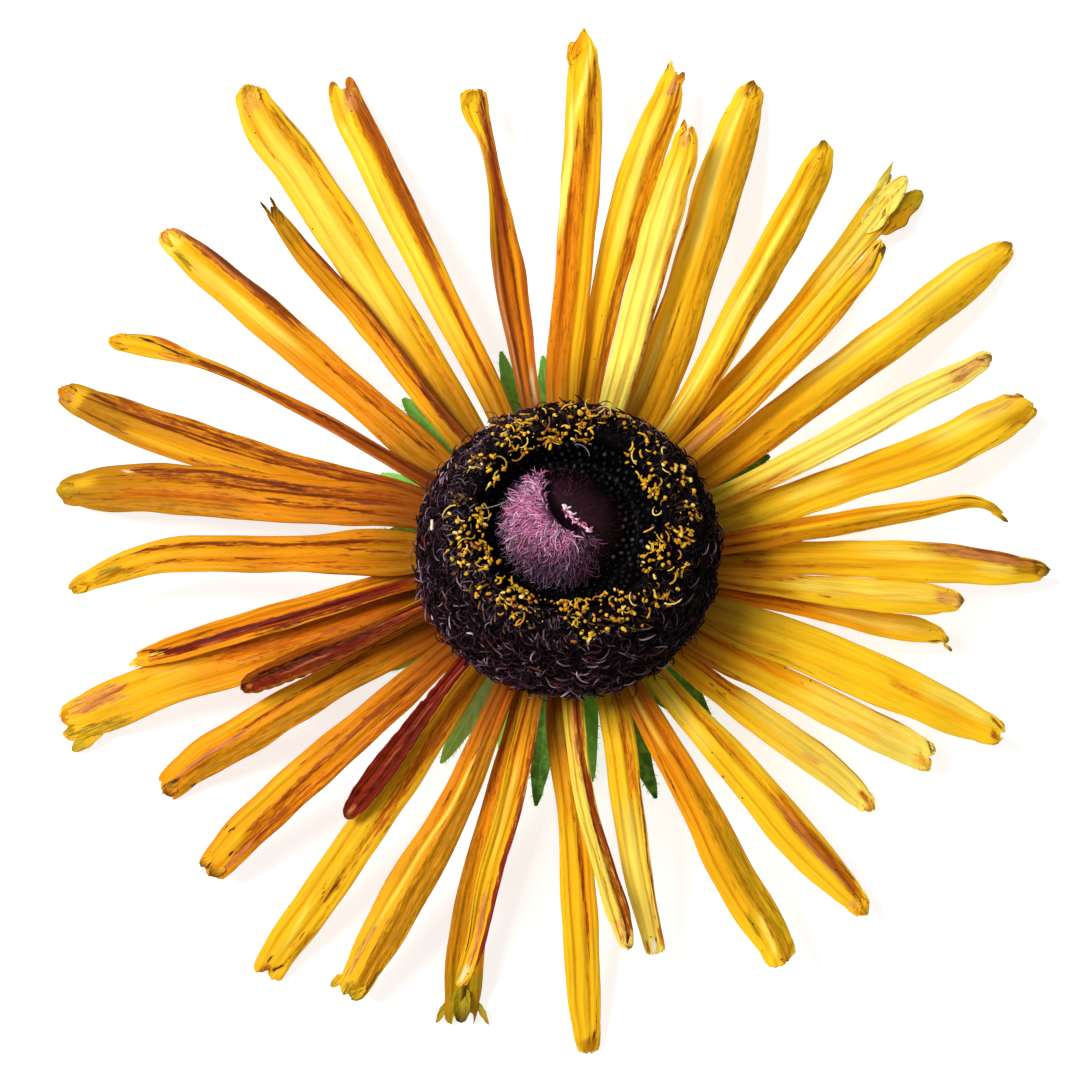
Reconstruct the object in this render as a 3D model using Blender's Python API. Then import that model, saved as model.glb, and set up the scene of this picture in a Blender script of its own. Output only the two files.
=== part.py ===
"""Black-eyed Susan flower head, cut close behind the head and lying face up.

All sizes are in millimetres and turned into metres when a mesh is made.  +Z is up, out of the
face of the flower.  The head stands on the cut end of its short stem stub and on the tips of its
lowest ray florets.
"""
import math

import bpy
import numpy as np

MM = 0.001

# The flower's own axis, measured from the middle of the whole flower's outline.
HEAD_AXIS = (0.82, -3.82)

# Ray florets leave the receptacle in three whorls: height of the upper face at the root.
UPPER = 9.0
MIDDLE = 8.1
LOWER = 7.2
RAY_ROOT_RADIUS = 8.05
RAY_ROOT_WIDTH = 1.0
RAY_THICKNESS = 0.45
RAY_RISE = 0.9
RAY_DROOP_POWER = 1.7
RAY_ACROSS = 5

# name, whorl, height of the tip's upper face, crown (edges below the midrib when positive),
# roll (slope across the blade), then distance from the axis, bearing in degrees and width at
# the disc's rim, one third out, two thirds out, the shoulder of the tip and the tip.
RAYS = [
    ("01", UPPER, 4.4, 0.35, -0.08,
     ((11.0, 89.7, 1.7), (20.6, 87.6, 2.5), (31.6, 87.1, 2.6), (37.9, 87.4, 2.0), (40.9, 87.6, 0.3))),
    ("02", MIDDLE, 3.0, 0.35, -0.12,
     ((11.5, 81.3, 1.3), (21.3, 80.2, 2.1), (31.4, 78.7, 2.5), (36.9, 77.6, 1.8), (39.2, 77.5, 0.6))),
    ("03", UPPER, 5.2, 0.35, -0.10,
     ((11.4, 72.0, 1.4), (20.2, 73.6, 2.2), (28.6, 74.2, 2.2), (32.3, 74.2, 1.7), (34.2, 74.7, 0.7))),
    ("04", LOWER, 0.6, 0.35, -0.12,
     ((11.6, 59.5, 1.6), (23.4, 66.4, 2.5), (33.8, 68.9, 3.0), (38.6, 69.4, 2.1), (40.8, 69.7, 0.7))),
    ("05", UPPER, 4.8, 0.35, -0.12,
     ((10.9, 49.7, 1.3), (24.3, 55.8, 2.3), (32.6, 57.7, 2.3), (36.0, 58.6, 1.6), (37.3, 59.3, 0.3))),
    ("06", LOWER, 1.0, 0.25, 0.00,
     ((13.1, 47.5, 1.1), (22.2, 48.0, 1.6), (31.0, 49.5, 2.0), (36.6, 50.5, 2.4), (39.4, 51.1, 2.1))),
    ("07", UPPER, 5.4, 0.35, 0.00,
     ((12.1, 40.4, 1.4), (21.6, 42.6, 1.9), (28.2, 44.5, 1.8), (31.5, 45.4, 1.3), (33.3, 46.6, 0.4))),
    ("08", LOWER, 0.5, 0.35, -0.10,
     ((11.8, 32.9, 1.7), (22.0, 35.4, 2.7), (31.8, 36.8, 2.8), (39.1, 37.8, 2.1), (41.6, 38.0, 0.4))),
    ("09", UPPER, 4.3, 0.35, 0.00,
     ((11.3, 20.8, 1.2), (19.5, 23.8, 1.8), (28.3, 26.4, 1.9), (32.7, 27.1, 1.4), (34.6, 27.6, 0.6))),
    ("10", MIDDLE, 2.2, 0.30, 0.00,
     ((11.1, 12.9, 1.4), (19.9, 16.3, 2.3), (29.4, 18.7, 2.9), (33.8, 20.5, 2.7), (36.0, 21.5, 1.4))),
    ("11", UPPER, 4.6, 0.30, 0.00,
     ((10.9, 4.9, 1.2), (17.8, 7.4, 1.6), (25.3, 9.0, 1.2), (30.1, 9.2, 0.7), (31.4, 8.0, 0.3))),
    ("12", MIDDLE, 2.0, 0.35, 0.06,
     ((10.9, 0.2, 1.6), (18.9, 1.0, 2.3), (27.5, 0.9, 2.6), (32.5, 0.8, 1.7), (34.6, 0.9, 0.4))),
    ("13", UPPER, 5.2, 0.35, 0.00,
     ((11.0, 351.9, 1.0), (17.7, 353.3, 1.9), (22.5, 354.2, 2.3), (26.7, 355.2, 1.7), (28.2, 355.4, 0.4))),
    ("14", MIDDLE, 3.2, 0.35, 0.00,
     ((11.3, 348.6, 0.9), (17.9, 349.7, 1.4), (22.9, 350.2, 1.7), (26.1, 350.9, 1.4), (27.5, 350.8, 0.4))),
    ("15", UPPER, 4.6, 0.25, 0.00,
     ((10.8, 338.3, 1.9), (18.4, 339.1, 3.2), (26.2, 339.0, 3.0), (30.9, 338.9, 2.1), (32.7, 338.8, 0.9))),
    ("16", MIDDLE, 2.8, 0.35, 0.05,
     ((10.5, 329.1, 1.4), (18.0, 330.8, 1.9), (24.1, 332.2, 2.4), (27.5, 332.9, 2.2), (28.9, 333.1, 1.6))),
    ("17", LOWER, 1.0, 0.35, 0.00,
     ((10.6, 319.1, 1.2), (17.9, 321.8, 1.9), (23.9, 323.4, 1.9), (26.1, 323.2, 1.4), (27.2, 323.1, 0.3))),
    ("18", MIDDLE, 2.4, 0.35, -0.06,
     ((10.4, 308.1, 1.6), (19.6, 309.9, 2.6), (27.3, 310.6, 2.6), (30.4, 311.2, 1.6), (31.8, 311.2, 0.6))),
    ("19", UPPER, 4.6, 0.35, 0.00,
     ((10.7, 298.0, 1.7), (18.4, 298.7, 2.6), (26.4, 298.5, 2.8), (30.1, 299.1, 2.3), (31.6, 298.8, 1.4))),
    ("20", MIDDLE, 3.0, 0.45, 0.00,
     ((10.3, 288.9, 1.3), (17.2, 284.9, 1.8), (22.9, 283.4, 1.6), (26.1, 283.5, 1.3), (27.5, 283.5, 1.2))),
    ("21", UPPER, 5.0, 0.35, 0.00,
     ((10.0, 274.5, 1.1), (17.0, 275.6, 1.3), (21.8, 278.0, 1.4), (25.4, 279.5, 1.3), (27.2, 279.9, 0.3))),
    ("22", LOWER, 0.5, 0.35, -0.05,
     ((9.6, 269.4, 1.4), (17.7, 272.6, 2.0), (25.7, 273.0, 2.3), (31.3, 273.1, 1.8), (33.2, 273.3, 1.1))),
    ("23", LOWER, 0.7, 0.35, 0.00,
     ((10.0, 250.9, 1.2), (17.2, 253.4, 1.8), (25.2, 255.7, 2.4), (30.3, 257.1, 2.3), (31.9, 257.5, 1.7))),
    ("24", UPPER, 4.6, -0.35, 0.10,
     ((10.2, 258.9, 1.1), (17.8, 258.4, 1.7), (23.5, 257.4, 1.5), (27.2, 257.4, 1.2), (30.1, 256.6, 0.6))),
    ("25", MIDDLE, 2.2, 0.35, 0.12,
     ((10.4, 241.8, 1.3), (18.0, 245.5, 2.3), (26.1, 244.4, 2.9), (30.8, 243.8, 2.2), (33.0, 243.7, 1.1))),
    ("26", LOWER, 0.5, 0.35, 0.00,
     ((10.3, 232.3, 1.4), (19.3, 233.3, 2.5), (29.1, 233.3, 2.6), (32.8, 233.1, 2.3), (34.3, 233.3, 1.8))),
    ("27", UPPER, 5.6, -0.45, 0.00,
     ((9.9, 228.1, 0.7), (15.4, 229.5, 1.3), (19.8, 230.1, 1.9), (22.1, 230.1, 1.3), (23.1, 230.0, 0.4))),
    ("28", MIDDLE, 2.0, 0.35, 0.00,
     ((10.3, 219.9, 1.4), (17.1, 220.3, 2.4), (26.1, 219.8, 2.7), (30.3, 220.1, 2.4), (32.1, 220.5, 1.6))),
    ("29", LOWER, 0.8, 0.35, 0.00,
     ((9.8, 208.0, 1.6), (16.8, 207.5, 2.3), (25.1, 207.4, 2.8), (29.3, 207.4, 2.4), (31.5, 208.3, 1.4))),
    ("30", UPPER, 5.6, -0.45, 0.00,
     ((9.8, 201.2, 0.9), (14.8, 202.5, 1.3), (19.9, 201.8, 1.7), (22.4, 201.4, 1.4), (23.8, 201.4, 0.5))),
    ("31", LOWER, 0.5, 0.20, 0.00,
     ((9.6, 196.2, 1.4), (19.4, 197.1, 2.3), (29.5, 195.9, 3.1), (34.7, 196.3, 3.0), (36.6, 196.4, 1.9))),
    ("32", MIDDLE, 3.0, -0.22, 0.00,
     ((9.5, 187.6, 1.2), (17.7, 190.5, 1.9), (25.1, 191.2, 1.9), (28.9, 191.3, 1.4), (30.5, 191.2, 0.6))),
    ("33", UPPER, 4.0, 0.28, 0.00,
     ((9.5, 178.3, 2.0), (18.6, 178.7, 2.5), (29.5, 179.1, 2.2), (32.9, 180.9, 1.4), (34.5, 181.8, 0.6))),
    ("34", MIDDLE, 1.8, 0.30, 0.00,
     ((10.1, 160.9, 2.4), (19.2, 166.5, 3.3), (29.2, 168.1, 3.5), (34.7, 169.3, 2.4), (36.5, 169.8, 0.7))),
    ("35", LOWER, 0.5, 0.35, -0.12,
     ((10.4, 154.7, 1.9), (20.0, 159.7, 2.5), (30.7, 159.4, 2.9), (36.1, 158.6, 2.2), (38.9, 157.9, 0.8))),
    ("36", UPPER, 4.6, -0.30, -0.15,
     ((10.5, 149.7, 0.9), (20.4, 149.0, 0.9), (28.9, 149.6, 0.7), (34.6, 151.3, 1.4), (36.3, 152.2, 0.6))),
    ("37", MIDDLE, 2.4, 0.35, -0.12,
     ((10.8, 141.4, 1.9), (17.6, 139.9, 2.3), (31.0, 138.3, 2.6), (36.6, 137.9, 1.9), (38.6, 137.9, 1.0))),
    ("38", UPPER, 5.2, 0.35, -0.15,
     ((11.9, 130.4, 1.1), (22.8, 128.4, 1.6), (29.8, 128.5, 1.4), (32.5, 128.1, 1.0), (34.0, 128.0, 0.4))),
    ("39", MIDDLE, 2.0, 0.40, 0.00,
     ((11.8, 125.1, 1.9), (23.2, 123.2, 3.1), (35.5, 122.4, 3.3), (42.0, 122.3, 2.5), (43.8, 121.8, 1.1))),
    ("40", LOWER, 0.6, 0.35, -0.12,
     ((11.8, 111.5, 1.4), (22.2, 113.1, 2.2), (34.5, 113.3, 2.5), (39.4, 113.2, 2.3), (41.3, 112.8, 1.8))),
    ("41", MIDDLE, 2.8, -0.35, -0.10,
     ((11.6, 100.8, 0.8), (21.3, 99.9, 1.6), (32.9, 99.6, 0.9), (36.0, 100.1, 1.8), (37.2, 99.9, 1.4))),
]

# name, series (height and distance of the root), height of the tip, then distance of the tip
# from the axis, its bearing and the width of the blade.
INNER_SERIES = (6.1, 7.7)
OUTER_SERIES = (5.3, 6.6)
BRACTS = [
    ("01", INNER_SERIES, 3.0, 17.3, 31.1, 1.7),
    ("02", OUTER_SERIES, 2.4, 16.6, 60.0, 1.6),
    ("03", INNER_SERIES, 3.0, 16.4, 94.5, 1.4),
    ("04", OUTER_SERIES, 2.4, 17.4, 103.6, 1.3),
    ("05", INNER_SERIES, 3.0, 17.3, 129.9, 2.0),
    ("06", OUTER_SERIES, 2.6, 15.5, 151.5, 1.8),
    ("07", INNER_SERIES, 3.0, 14.7, 166.8, 1.7),
    ("08", OUTER_SERIES, 2.6, 13.8, 208.5, 1.5),
    ("09", INNER_SERIES, 3.0, 15.8, 238.1, 1.4),
    ("10", OUTER_SERIES, 2.4, 12.9, 250.5, 1.3),
    ("11", INNER_SERIES, 2.8, 16.4, 263.9, 1.7),
    ("12", OUTER_SERIES, 2.0, 14.6, 278.5, 1.8),
    ("13", INNER_SERIES, 2.8, 17.1, 292.7, 1.8),
    ("14", OUTER_SERIES, 2.4, 15.0, 318.0, 1.6),
]
BRACT_THICKNESS = 0.4
BRACT_BOW = 1.1

# Receptacle and stem stub, turned about the axis: radius and height from the cut end up.
RECEPTACLE_PROFILE = [
    (1.60, 0.0), (1.75, 0.25), (1.70, 2.4), (1.85, 3.9), (2.60, 4.5),
    (4.80, 4.95), (6.60, 5.6), (7.35, 6.4), (7.70, 7.4), (7.75, 9.0), (7.45, 9.3),
]
STEM_RIBS = 8
STEM_RIB_DEPTH = 0.12

# Disc outline from its foot to its middle: height, radius, sideways shift of the ring's centre.
DISC_FOOT = 9.6
SPENT_OUTLINE = [(9.6, 9.4, 0.2), (11.2, 10.35, 0.4), (12.8, 10.5, 0.4),
                 (14.6, 10.1, 0.5), (16.2, 9.35, 0.55), (17.4, 8.55, 0.6)]
POLLEN_OUTLINE = [(17.6, 8.25, 0.6), (18.5, 7.5, 0.6), (18.9, 6.75, 0.5), (18.6, 6.2, 0.45)]
BUD_OUTLINE = [(18.2, 5.9, 0.45), (17.5, 5.35, 0.35), (16.9, 4.8, 0.2), (17.1, 4.35, 0.1)]
TUFT_OUTLINE = [(17.3, 4.05, 0.0), (18.1, 3.3, 0.0), (18.6, 2.2, 0.0), (18.65, 1.2, 0.0)]
TUFT_DIMPLE_HEIGHT = 18.25
DISC_Y_SCALE = 0.97
SPENT_FOOT = (9.4, 6.9)
POLLEN_FOOT = (6.6, 5.2)
BUD_FOOT = (4.9, 3.6)
TUFT_FOOT = 3.3
FLUTE_DEPTH = 0.12


def material(name, colour, roughness):
    """Makes a plain Principled material."""
    made = bpy.data.materials.new(name)
    made.use_nodes = True
    shader = made.node_tree.nodes["Principled BSDF"]
    shader.inputs["Base Color"].default_value = (*colour, 1.0)
    shader.inputs["Roughness"].default_value = roughness
    shader.inputs["Metallic"].default_value = 0.0
    return made


def add_object(name, points, faces, made, smooth=True):
    """Adds one mesh object; points are in millimetres about the flower's axis."""
    shifted = np.asarray(points, dtype=float) + np.array([HEAD_AXIS[0], HEAD_AXIS[1], 0.0])
    mesh = bpy.data.meshes.new(name)
    mesh.from_pydata((shifted * MM).tolist(), [], faces)
    mesh.polygons.foreach_set("use_smooth", [smooth] * len(mesh.polygons))
    mesh.materials.append(made)
    mesh.validate()
    mesh.update()
    thing = bpy.data.objects.new(name, mesh)
    bpy.context.scene.collection.objects.link(thing)
    return thing


def smooth_curve(knots, values, where):
    """Cubic curve through values at knots, with slopes from the neighbouring spans."""
    knots = np.asarray(knots, dtype=float)
    values = np.asarray(values, dtype=float)
    step = np.diff(knots)
    slope = np.diff(values) / step
    tangent = np.empty_like(values)
    tangent[1:-1] = (slope[:-1] * step[1:] + slope[1:] * step[:-1]) / (step[1:] + step[:-1])
    tangent[0] = 2.0 * slope[0] - tangent[1]
    tangent[-1] = 2.0 * slope[-1] - tangent[-2]
    span = np.clip(np.searchsorted(knots, where, side="right") - 1, 0, len(step) - 1)
    s = (where - knots[span]) / step[span]
    h = step[span]
    return ((2 * s**3 - 3 * s**2 + 1) * values[span]
            + (s**3 - 2 * s**2 + s) * h * tangent[span]
            + (3 * s**2 - 2 * s**3) * values[span + 1]
            + (s**3 - s**2) * h * tangent[span + 1])


def sheet_solid(upper, thickness):
    """Closes a grid of points (along, across, xyz) into a sheet of the given thickness."""
    along, across = upper.shape[:2]
    lower = upper - np.array([0.0, 0.0, thickness])
    points = np.concatenate([upper.reshape(-1, 3), lower.reshape(-1, 3)])
    count = along * across

    def at(i, j, below=0):
        return below * count + i * across + j

    faces = []
    for i in range(along - 1):
        for j in range(across - 1):
            faces.append((at(i, j), at(i + 1, j), at(i + 1, j + 1), at(i, j + 1)))
            faces.append((at(i, j, 1), at(i, j + 1, 1), at(i + 1, j + 1, 1), at(i + 1, j, 1)))
    last = across - 1
    for i in range(along - 1):
        faces.append((at(i, 0), at(i, 0, 1), at(i + 1, 0, 1), at(i + 1, 0)))
        faces.append((at(i, last), at(i + 1, last), at(i + 1, last, 1), at(i, last, 1)))
    end = along - 1
    for j in range(across - 1):
        faces.append((at(0, j), at(0, j + 1), at(0, j + 1, 1), at(0, j, 1)))
        faces.append((at(end, j), at(end, j, 1), at(end, j + 1, 1), at(end, j + 1)))
    return points, faces


def ray_grid(root_height, tip_height, crown, roll, stations):
    """Upper face of one ray floret: a bent, drooping blade with an arched cross-section."""
    first = stations[0]
    radii = np.array([RAY_ROOT_RADIUS] + [s[0] for s in stations])
    bearings = np.radians([first[1]] + [s[1] for s in stations])
    widths = np.array([RAY_ROOT_WIDTH] + [s[2] for s in stations])
    plan = np.stack([radii * np.cos(bearings), radii * np.sin(bearings)], axis=1)
    knots = np.concatenate([[0.0], np.cumsum(np.hypot(*np.diff(plan, axis=0).T))])
    knots /= knots[-1]
    shoulder = knots[-2]
    tip_part = 1.0 - shoulder
    where = np.array([0.0, knots[1] * 0.6, knots[1] * 1.7, 0.34, 0.50, 0.66,
                      0.5 * (0.66 + shoulder), shoulder, shoulder + 0.45 * tip_part,
                      shoulder + 0.8 * tip_part, 1.0])
    x = smooth_curve(knots, plan[:, 0], where)
    y = smooth_curve(knots, plan[:, 1], where)
    width = np.maximum(smooth_curve(knots, widths, where), 0.25)
    past = np.clip((where - shoulder) / tip_part, 0.0, 1.0)
    rounded = widths[-1] + (widths[-2] - widths[-1]) * (1.0 - past**2) ** 0.7
    width = np.where(past > 0.0, rounded, width)
    heading = np.stack([np.gradient(x, where), np.gradient(y, where)], axis=1)
    heading /= np.linalg.norm(heading, axis=1)[:, None]
    sideways = np.stack([-heading[:, 1], heading[:, 0]], axis=1)
    droop = (root_height - tip_height) * where**RAY_DROOP_POWER
    height = root_height + RAY_RISE * where * (1.0 - where) - droop
    across = np.linspace(-1.0, 1.0, RAY_ACROSS)
    relative = width / widths.max()
    grid = np.empty((len(where), RAY_ACROSS, 3))
    half = 0.5 * width[:, None] * across[None, :]
    grid[:, :, 0] = x[:, None] + half * sideways[:, None, 0]
    grid[:, :, 1] = y[:, None] + half * sideways[:, None, 1]
    arch = crown * relative[:, None] * across[None, :] ** 2
    grid[:, :, 2] = height[:, None] - arch + roll * half
    # The grid runs outward and to the left, so its faces look up after this flip.
    return grid[:, ::-1]


def build_rays(made):
    """All ray florets."""
    for name, root_height, tip_height, crown, roll, stations in RAYS:
        grid = ray_grid(root_height, tip_height, crown, roll, stations)
        lowest = grid[:, :, 2].min() - RAY_THICKNESS
        if root_height == LOWER:
            # The lowest whorl's tips rest on the surface the flower lies on.
            along = np.linspace(0.0, 1.0, grid.shape[0])[:, None] ** 2
            grid[:, :, 2] -= lowest * along
        points, faces = sheet_solid(grid, RAY_THICKNESS)
        points[:, 2] = np.maximum(points[:, 2], 0.0)
        add_object("ray_" + name, points, [face[::-1] for face in faces], made)


def build_bracts(made):
    """Green bracts that spread outward and down from the foot of the receptacle."""
    share = np.array([0.0, 0.18, 0.4, 0.62, 0.82, 1.0])
    taper = np.array([0.80, 1.0, 1.0, 0.86, 0.58, 0.16])
    across = np.linspace(-1.0, 1.0, 3)
    for name, (root_height, root_radius), tip_height, reach, bearing, width in BRACTS:
        angle = math.radians(bearing)
        out = np.array([math.cos(angle), math.sin(angle)])
        side = np.array([-out[1], out[0]])
        radius = root_radius + (reach - root_radius) * share
        height = root_height - (root_height - tip_height) * share**1.5
        height = height - BRACT_BOW * share * (1.0 - share)
        half = 0.5 * width * taper[:, None] * across[None, ::-1]
        grid = np.empty((len(share), 3, 3))
        grid[:, :, 0] = radius[:, None] * out[0] + half * side[0]
        grid[:, :, 1] = radius[:, None] * out[1] + half * side[1]
        grid[:, :, 2] = height[:, None] + 0.22 * taper[:, None] * across[None, :] ** 2
        points, faces = sheet_solid(grid, BRACT_THICKNESS)
        add_object("bract_" + name, points, [face[::-1] for face in faces], made)


def ring_loop(height, radius, shift, segments, flutes, depth):
    """One loop of a disc ring, with shallow flutes where its florets stand."""
    turn = np.linspace(0.0, 2.0 * math.pi, segments, endpoint=False)
    swell = radius + depth * (np.cos(flutes * turn) - 1.0) * 0.5
    return np.stack([shift + swell * np.cos(turn), swell * np.sin(turn) * DISC_Y_SCALE,
                     np.full(segments, height)], axis=1)


def loops_to_faces(count, segments, closed):
    """Quads between stacked loops; closed joins the last loop back to the first."""
    faces = []
    rows = count if closed else count - 1
    for i in range(rows):
        low = i * segments
        high = ((i + 1) % count) * segments
        for j in range(segments):
            k = (j + 1) % segments
            faces.append((low + j, low + k, high + k, high + j))
    return faces


def build_ring(name, outline, feet, segments, flutes, made):
    """A ring of the disc: outside wall, floret tops, inside wall and flat foot."""
    outer_foot, inner_foot = feet
    first_shift = outline[0][2]
    last_shift = outline[-1][2]
    loops = [ring_loop(h, r, s, segments, flutes, FLUTE_DEPTH) for h, r, s in outline]
    if outline[0][0] > DISC_FOOT:
        loops.insert(0, ring_loop(DISC_FOOT, outer_foot, first_shift * 0.5, segments, 0, 0.0))
    loops.append(ring_loop(DISC_FOOT, inner_foot, last_shift * 0.5, segments, 0, 0.0))
    points = np.concatenate(loops)
    add_object(name, points, loops_to_faces(len(loops), segments, True), made)


def build_tuft(made):
    """The domed middle of the disc, with a dimple at its crown."""
    segments = 36
    loops = [ring_loop(DISC_FOOT, TUFT_FOOT, 0.0, segments, 0, 0.0)]
    loops += [ring_loop(h, r, s, segments, 18, 0.05) for h, r, s in TUFT_OUTLINE]
    points = np.concatenate(loops + [np.array([[0.0, 0.0, DISC_FOOT]]),
                                     np.array([[0.0, 0.0, TUFT_DIMPLE_HEIGHT]])])
    faces = loops_to_faces(len(loops), segments, False)
    foot = len(loops) * segments
    crown = foot + 1
    top = (len(loops) - 1) * segments
    for j in range(segments):
        k = (j + 1) % segments
        faces.append((foot, k, j))
        faces.append((crown, top + j, top + k))
    add_object("centre_tuft", points, faces, made)


def build_receptacle(made):
    """The receptacle and its ribbed stem stub, which are one piece of tissue."""
    segments = 48
    turn = np.linspace(0.0, 2.0 * math.pi, segments, endpoint=False)
    loops = []
    for radius, height in RECEPTACLE_PROFILE:
        ribs = STEM_RIB_DEPTH * np.cos(STEM_RIBS * turn) * max(0.0, 1.0 - height / 5.0)
        swell = radius + ribs
        loops.append(np.stack([swell * np.cos(turn), swell * np.sin(turn),
                               np.full(segments, height)], axis=1))
    ends = np.array([[0.0, 0.0, RECEPTACLE_PROFILE[0][1]], [0.0, 0.0, RECEPTACLE_PROFILE[-1][1]]])
    points = np.concatenate(loops + [ends])
    faces = loops_to_faces(len(loops), segments, False)
    foot = len(loops) * segments
    crown = foot + 1
    top = (len(loops) - 1) * segments
    for j in range(segments):
        k = (j + 1) % segments
        faces.append((foot, k, j))
        faces.append((crown, top + j, top + k))
    add_object("receptacle_and_stem_stub", points, faces, made)


def main():
    for thing in list(bpy.data.objects):
        bpy.data.objects.remove(thing, do_unlink=True)
    petal = material("ray_floret_yellow", (0.88, 0.52, 0.03), 0.5)
    green = material("bract_green", (0.12, 0.27, 0.05), 0.6)
    stem = material("receptacle_green", (0.20, 0.32, 0.09), 0.6)
    spent = material("spent_floret_brown", (0.045, 0.02, 0.03), 0.7)
    pollen = material("pollen_floret_gold", (0.35, 0.21, 0.03), 0.8)
    bud = material("bud_floret_black", (0.02, 0.012, 0.02), 0.5)
    tuft = material("centre_mauve", (0.20, 0.09, 0.16), 0.8)
    build_rays(petal)
    build_bracts(green)
    build_receptacle(stem)
    build_ring("spent_floret_ring", SPENT_OUTLINE, SPENT_FOOT, 84, 28, spent)
    build_ring("pollen_floret_ring", POLLEN_OUTLINE, POLLEN_FOOT, 72, 24, pollen)
    build_ring("bud_floret_ring", BUD_OUTLINE, BUD_FOOT, 54, 18, bud)
    build_tuft(tuft)


main()
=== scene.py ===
"""Black-eyed Susan flower head: its finished look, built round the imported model.

Lengths are millimetres about the flower's own axis, which stands upright, and they become metres
in the shared frame when a mesh is made.  A ray floret is a long petal.  Its u runs from 0 at the
root to 1 at the tip and its v from -1 to 1 across the blade, with 1 on the anticlockwise side.
"""
from __future__ import annotations

import logging
import math
from dataclasses import dataclass
from enum import Enum

import bpy
import numpy as np
from bpy.types import Material, Node, NodeSocket, NodeTree
from numpy.random import Generator
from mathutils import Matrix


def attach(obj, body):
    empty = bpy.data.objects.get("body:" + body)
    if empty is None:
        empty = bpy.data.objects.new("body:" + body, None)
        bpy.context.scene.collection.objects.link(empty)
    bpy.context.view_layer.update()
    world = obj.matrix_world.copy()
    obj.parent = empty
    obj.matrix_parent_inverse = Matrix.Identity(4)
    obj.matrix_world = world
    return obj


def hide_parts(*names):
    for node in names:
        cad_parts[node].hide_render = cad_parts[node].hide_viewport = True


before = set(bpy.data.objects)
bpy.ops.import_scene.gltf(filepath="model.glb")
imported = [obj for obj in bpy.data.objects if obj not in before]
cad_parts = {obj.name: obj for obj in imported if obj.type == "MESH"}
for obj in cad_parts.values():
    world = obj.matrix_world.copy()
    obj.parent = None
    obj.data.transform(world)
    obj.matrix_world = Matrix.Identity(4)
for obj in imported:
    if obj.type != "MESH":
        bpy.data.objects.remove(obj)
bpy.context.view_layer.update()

BODY = "root"
MM = 0.001
# Millimetres of a blade in one unit of its surface coordinates.
UV_SPAN = 50.0
# Place of the flower's upright axis in the shared frame, in millimetres.
HEAD_AXIS = (0.82, -3.82)
LOG = logging.getLogger("flower")

Array = np.ndarray


# ---------------------------------------------------------------- tones and driving dimensions

def as_linear(display: Array) -> Array:
    """Linear light of 0 to 255 display values, by the display's own curve."""
    share = np.asarray(display, dtype=float) / 255.0
    return np.where(share <= 0.04045, share / 12.92, ((share + 0.055) / 1.055) ** 2.4)


class Tone(Enum):
    """Colours of the living and the withered tissue, as 0 to 255 display values."""

    # PALE and CREAM also serve as painted highlights and painted glints on the blades.
    PALE = (255, 228, 100)
    YELLOW = (252, 198, 30)
    AMBER = (240, 154, 8)
    ORANGE = (210, 112, 4)
    OCHRE = (188, 132, 6)
    RUST = (162, 80, 4)
    BROWN = (108, 48, 6)
    DARK = (62, 26, 10)
    BLACK = (26, 16, 10)
    MAROON = (132, 34, 18)
    SALMON = (222, 146, 84)
    OLIVE = (168, 146, 16)
    CREAM = (255, 244, 214)
    MEADOW = (100, 164, 60)
    LIME = (150, 224, 104)
    # A pale green that is partly painted light: it lifts bract 09 out of the shade of the blades
    # over it.
    SPRING = (198, 250, 164)
    MOSS = (44, 82, 18)

    @property
    def linear(self) -> Array:
        """The colour as linear light."""
        return as_linear(self.value)

    @property
    def rgba(self) -> tuple[float, ...]:
        """The linear colour with full opacity."""
        return (*map(float, self.linear), 1.0)


# One letter for each tone that the tables use, in the order in which the tones are listed.
TONE_LETTERS = dict(zip("PYAOCRBDKMSGW", Tone))


class Whorl(Enum):
    """The three whorls of ray florets: height of the blade's upper face at its root."""

    UPPER = 9.0
    MIDDLE = 8.1
    LOWER = 7.2


@dataclass(frozen=True)
class Stroke:
    """One long mark of colour on a blade, between two points of its u and v."""

    tone: str
    u_from: float
    v_from: float
    u_to: float
    v_to: float
    half: float
    strength: float

    @classmethod
    def read(cls, notes: str) -> Stroke:
        """Reads a mark from its tone's letter and its six sizes in hundredths."""
        tone, *sizes = notes.split()
        return cls(tone, *(float(size) / 100.0 for size in sizes))


@dataclass(frozen=True)
class Ray:
    """One ray floret.

    Args:
        name: number in its name.
        whorl: the whorl that it grows in.
        tip_height: height of the tip's upper face.
        arch: half angle of the arched cross-section in radians; below 0 the edges turn up.
        roll: slope across the blade.
        stations: distance from the axis, bearing in degrees and width at the disc's rim, one
            third out, two thirds out, the tip's shoulder and the tip, with ; between them.
        base: letters of the blade's tones from root to tip.
        strokes: colour marks in the order in which they are laid on, with ; between them: a
            tone's letter, u and v at one end, u and v at the other, half width, strength.
        reach: how far the blade's end reaches, evenly spaced from v = -1 to v = 1.
        curl: height that the last of the tip is turned up, or down when negative.
    """

    name: str
    whorl: Whorl
    tip_height: float
    arch: float
    roll: float
    stations: str
    base: str
    strokes: str
    reach: tuple[float, ...] = (0.985, 1.0, 1.0, 1.0, 0.985)
    curl: float = 0.0

    @property
    def places(self) -> Array:
        """The stations, as rows of distance, bearing and width."""
        return np.array([station.split() for station in self.stations.split(";")], dtype=float)


# Among the strokes, the pale (P) marks are partly painted highlight, the cream (W) marks are
# painted glints, and the thin salmon (S) marks on blades 27 and 30 are painted highlights. The
# ochre (C) marks along the clockwise edges of blades 04 and 05 are painted shade, and the broad
# dark marks at the roots of blades 11 to 17 are partly painted shadow of the disc.
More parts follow.
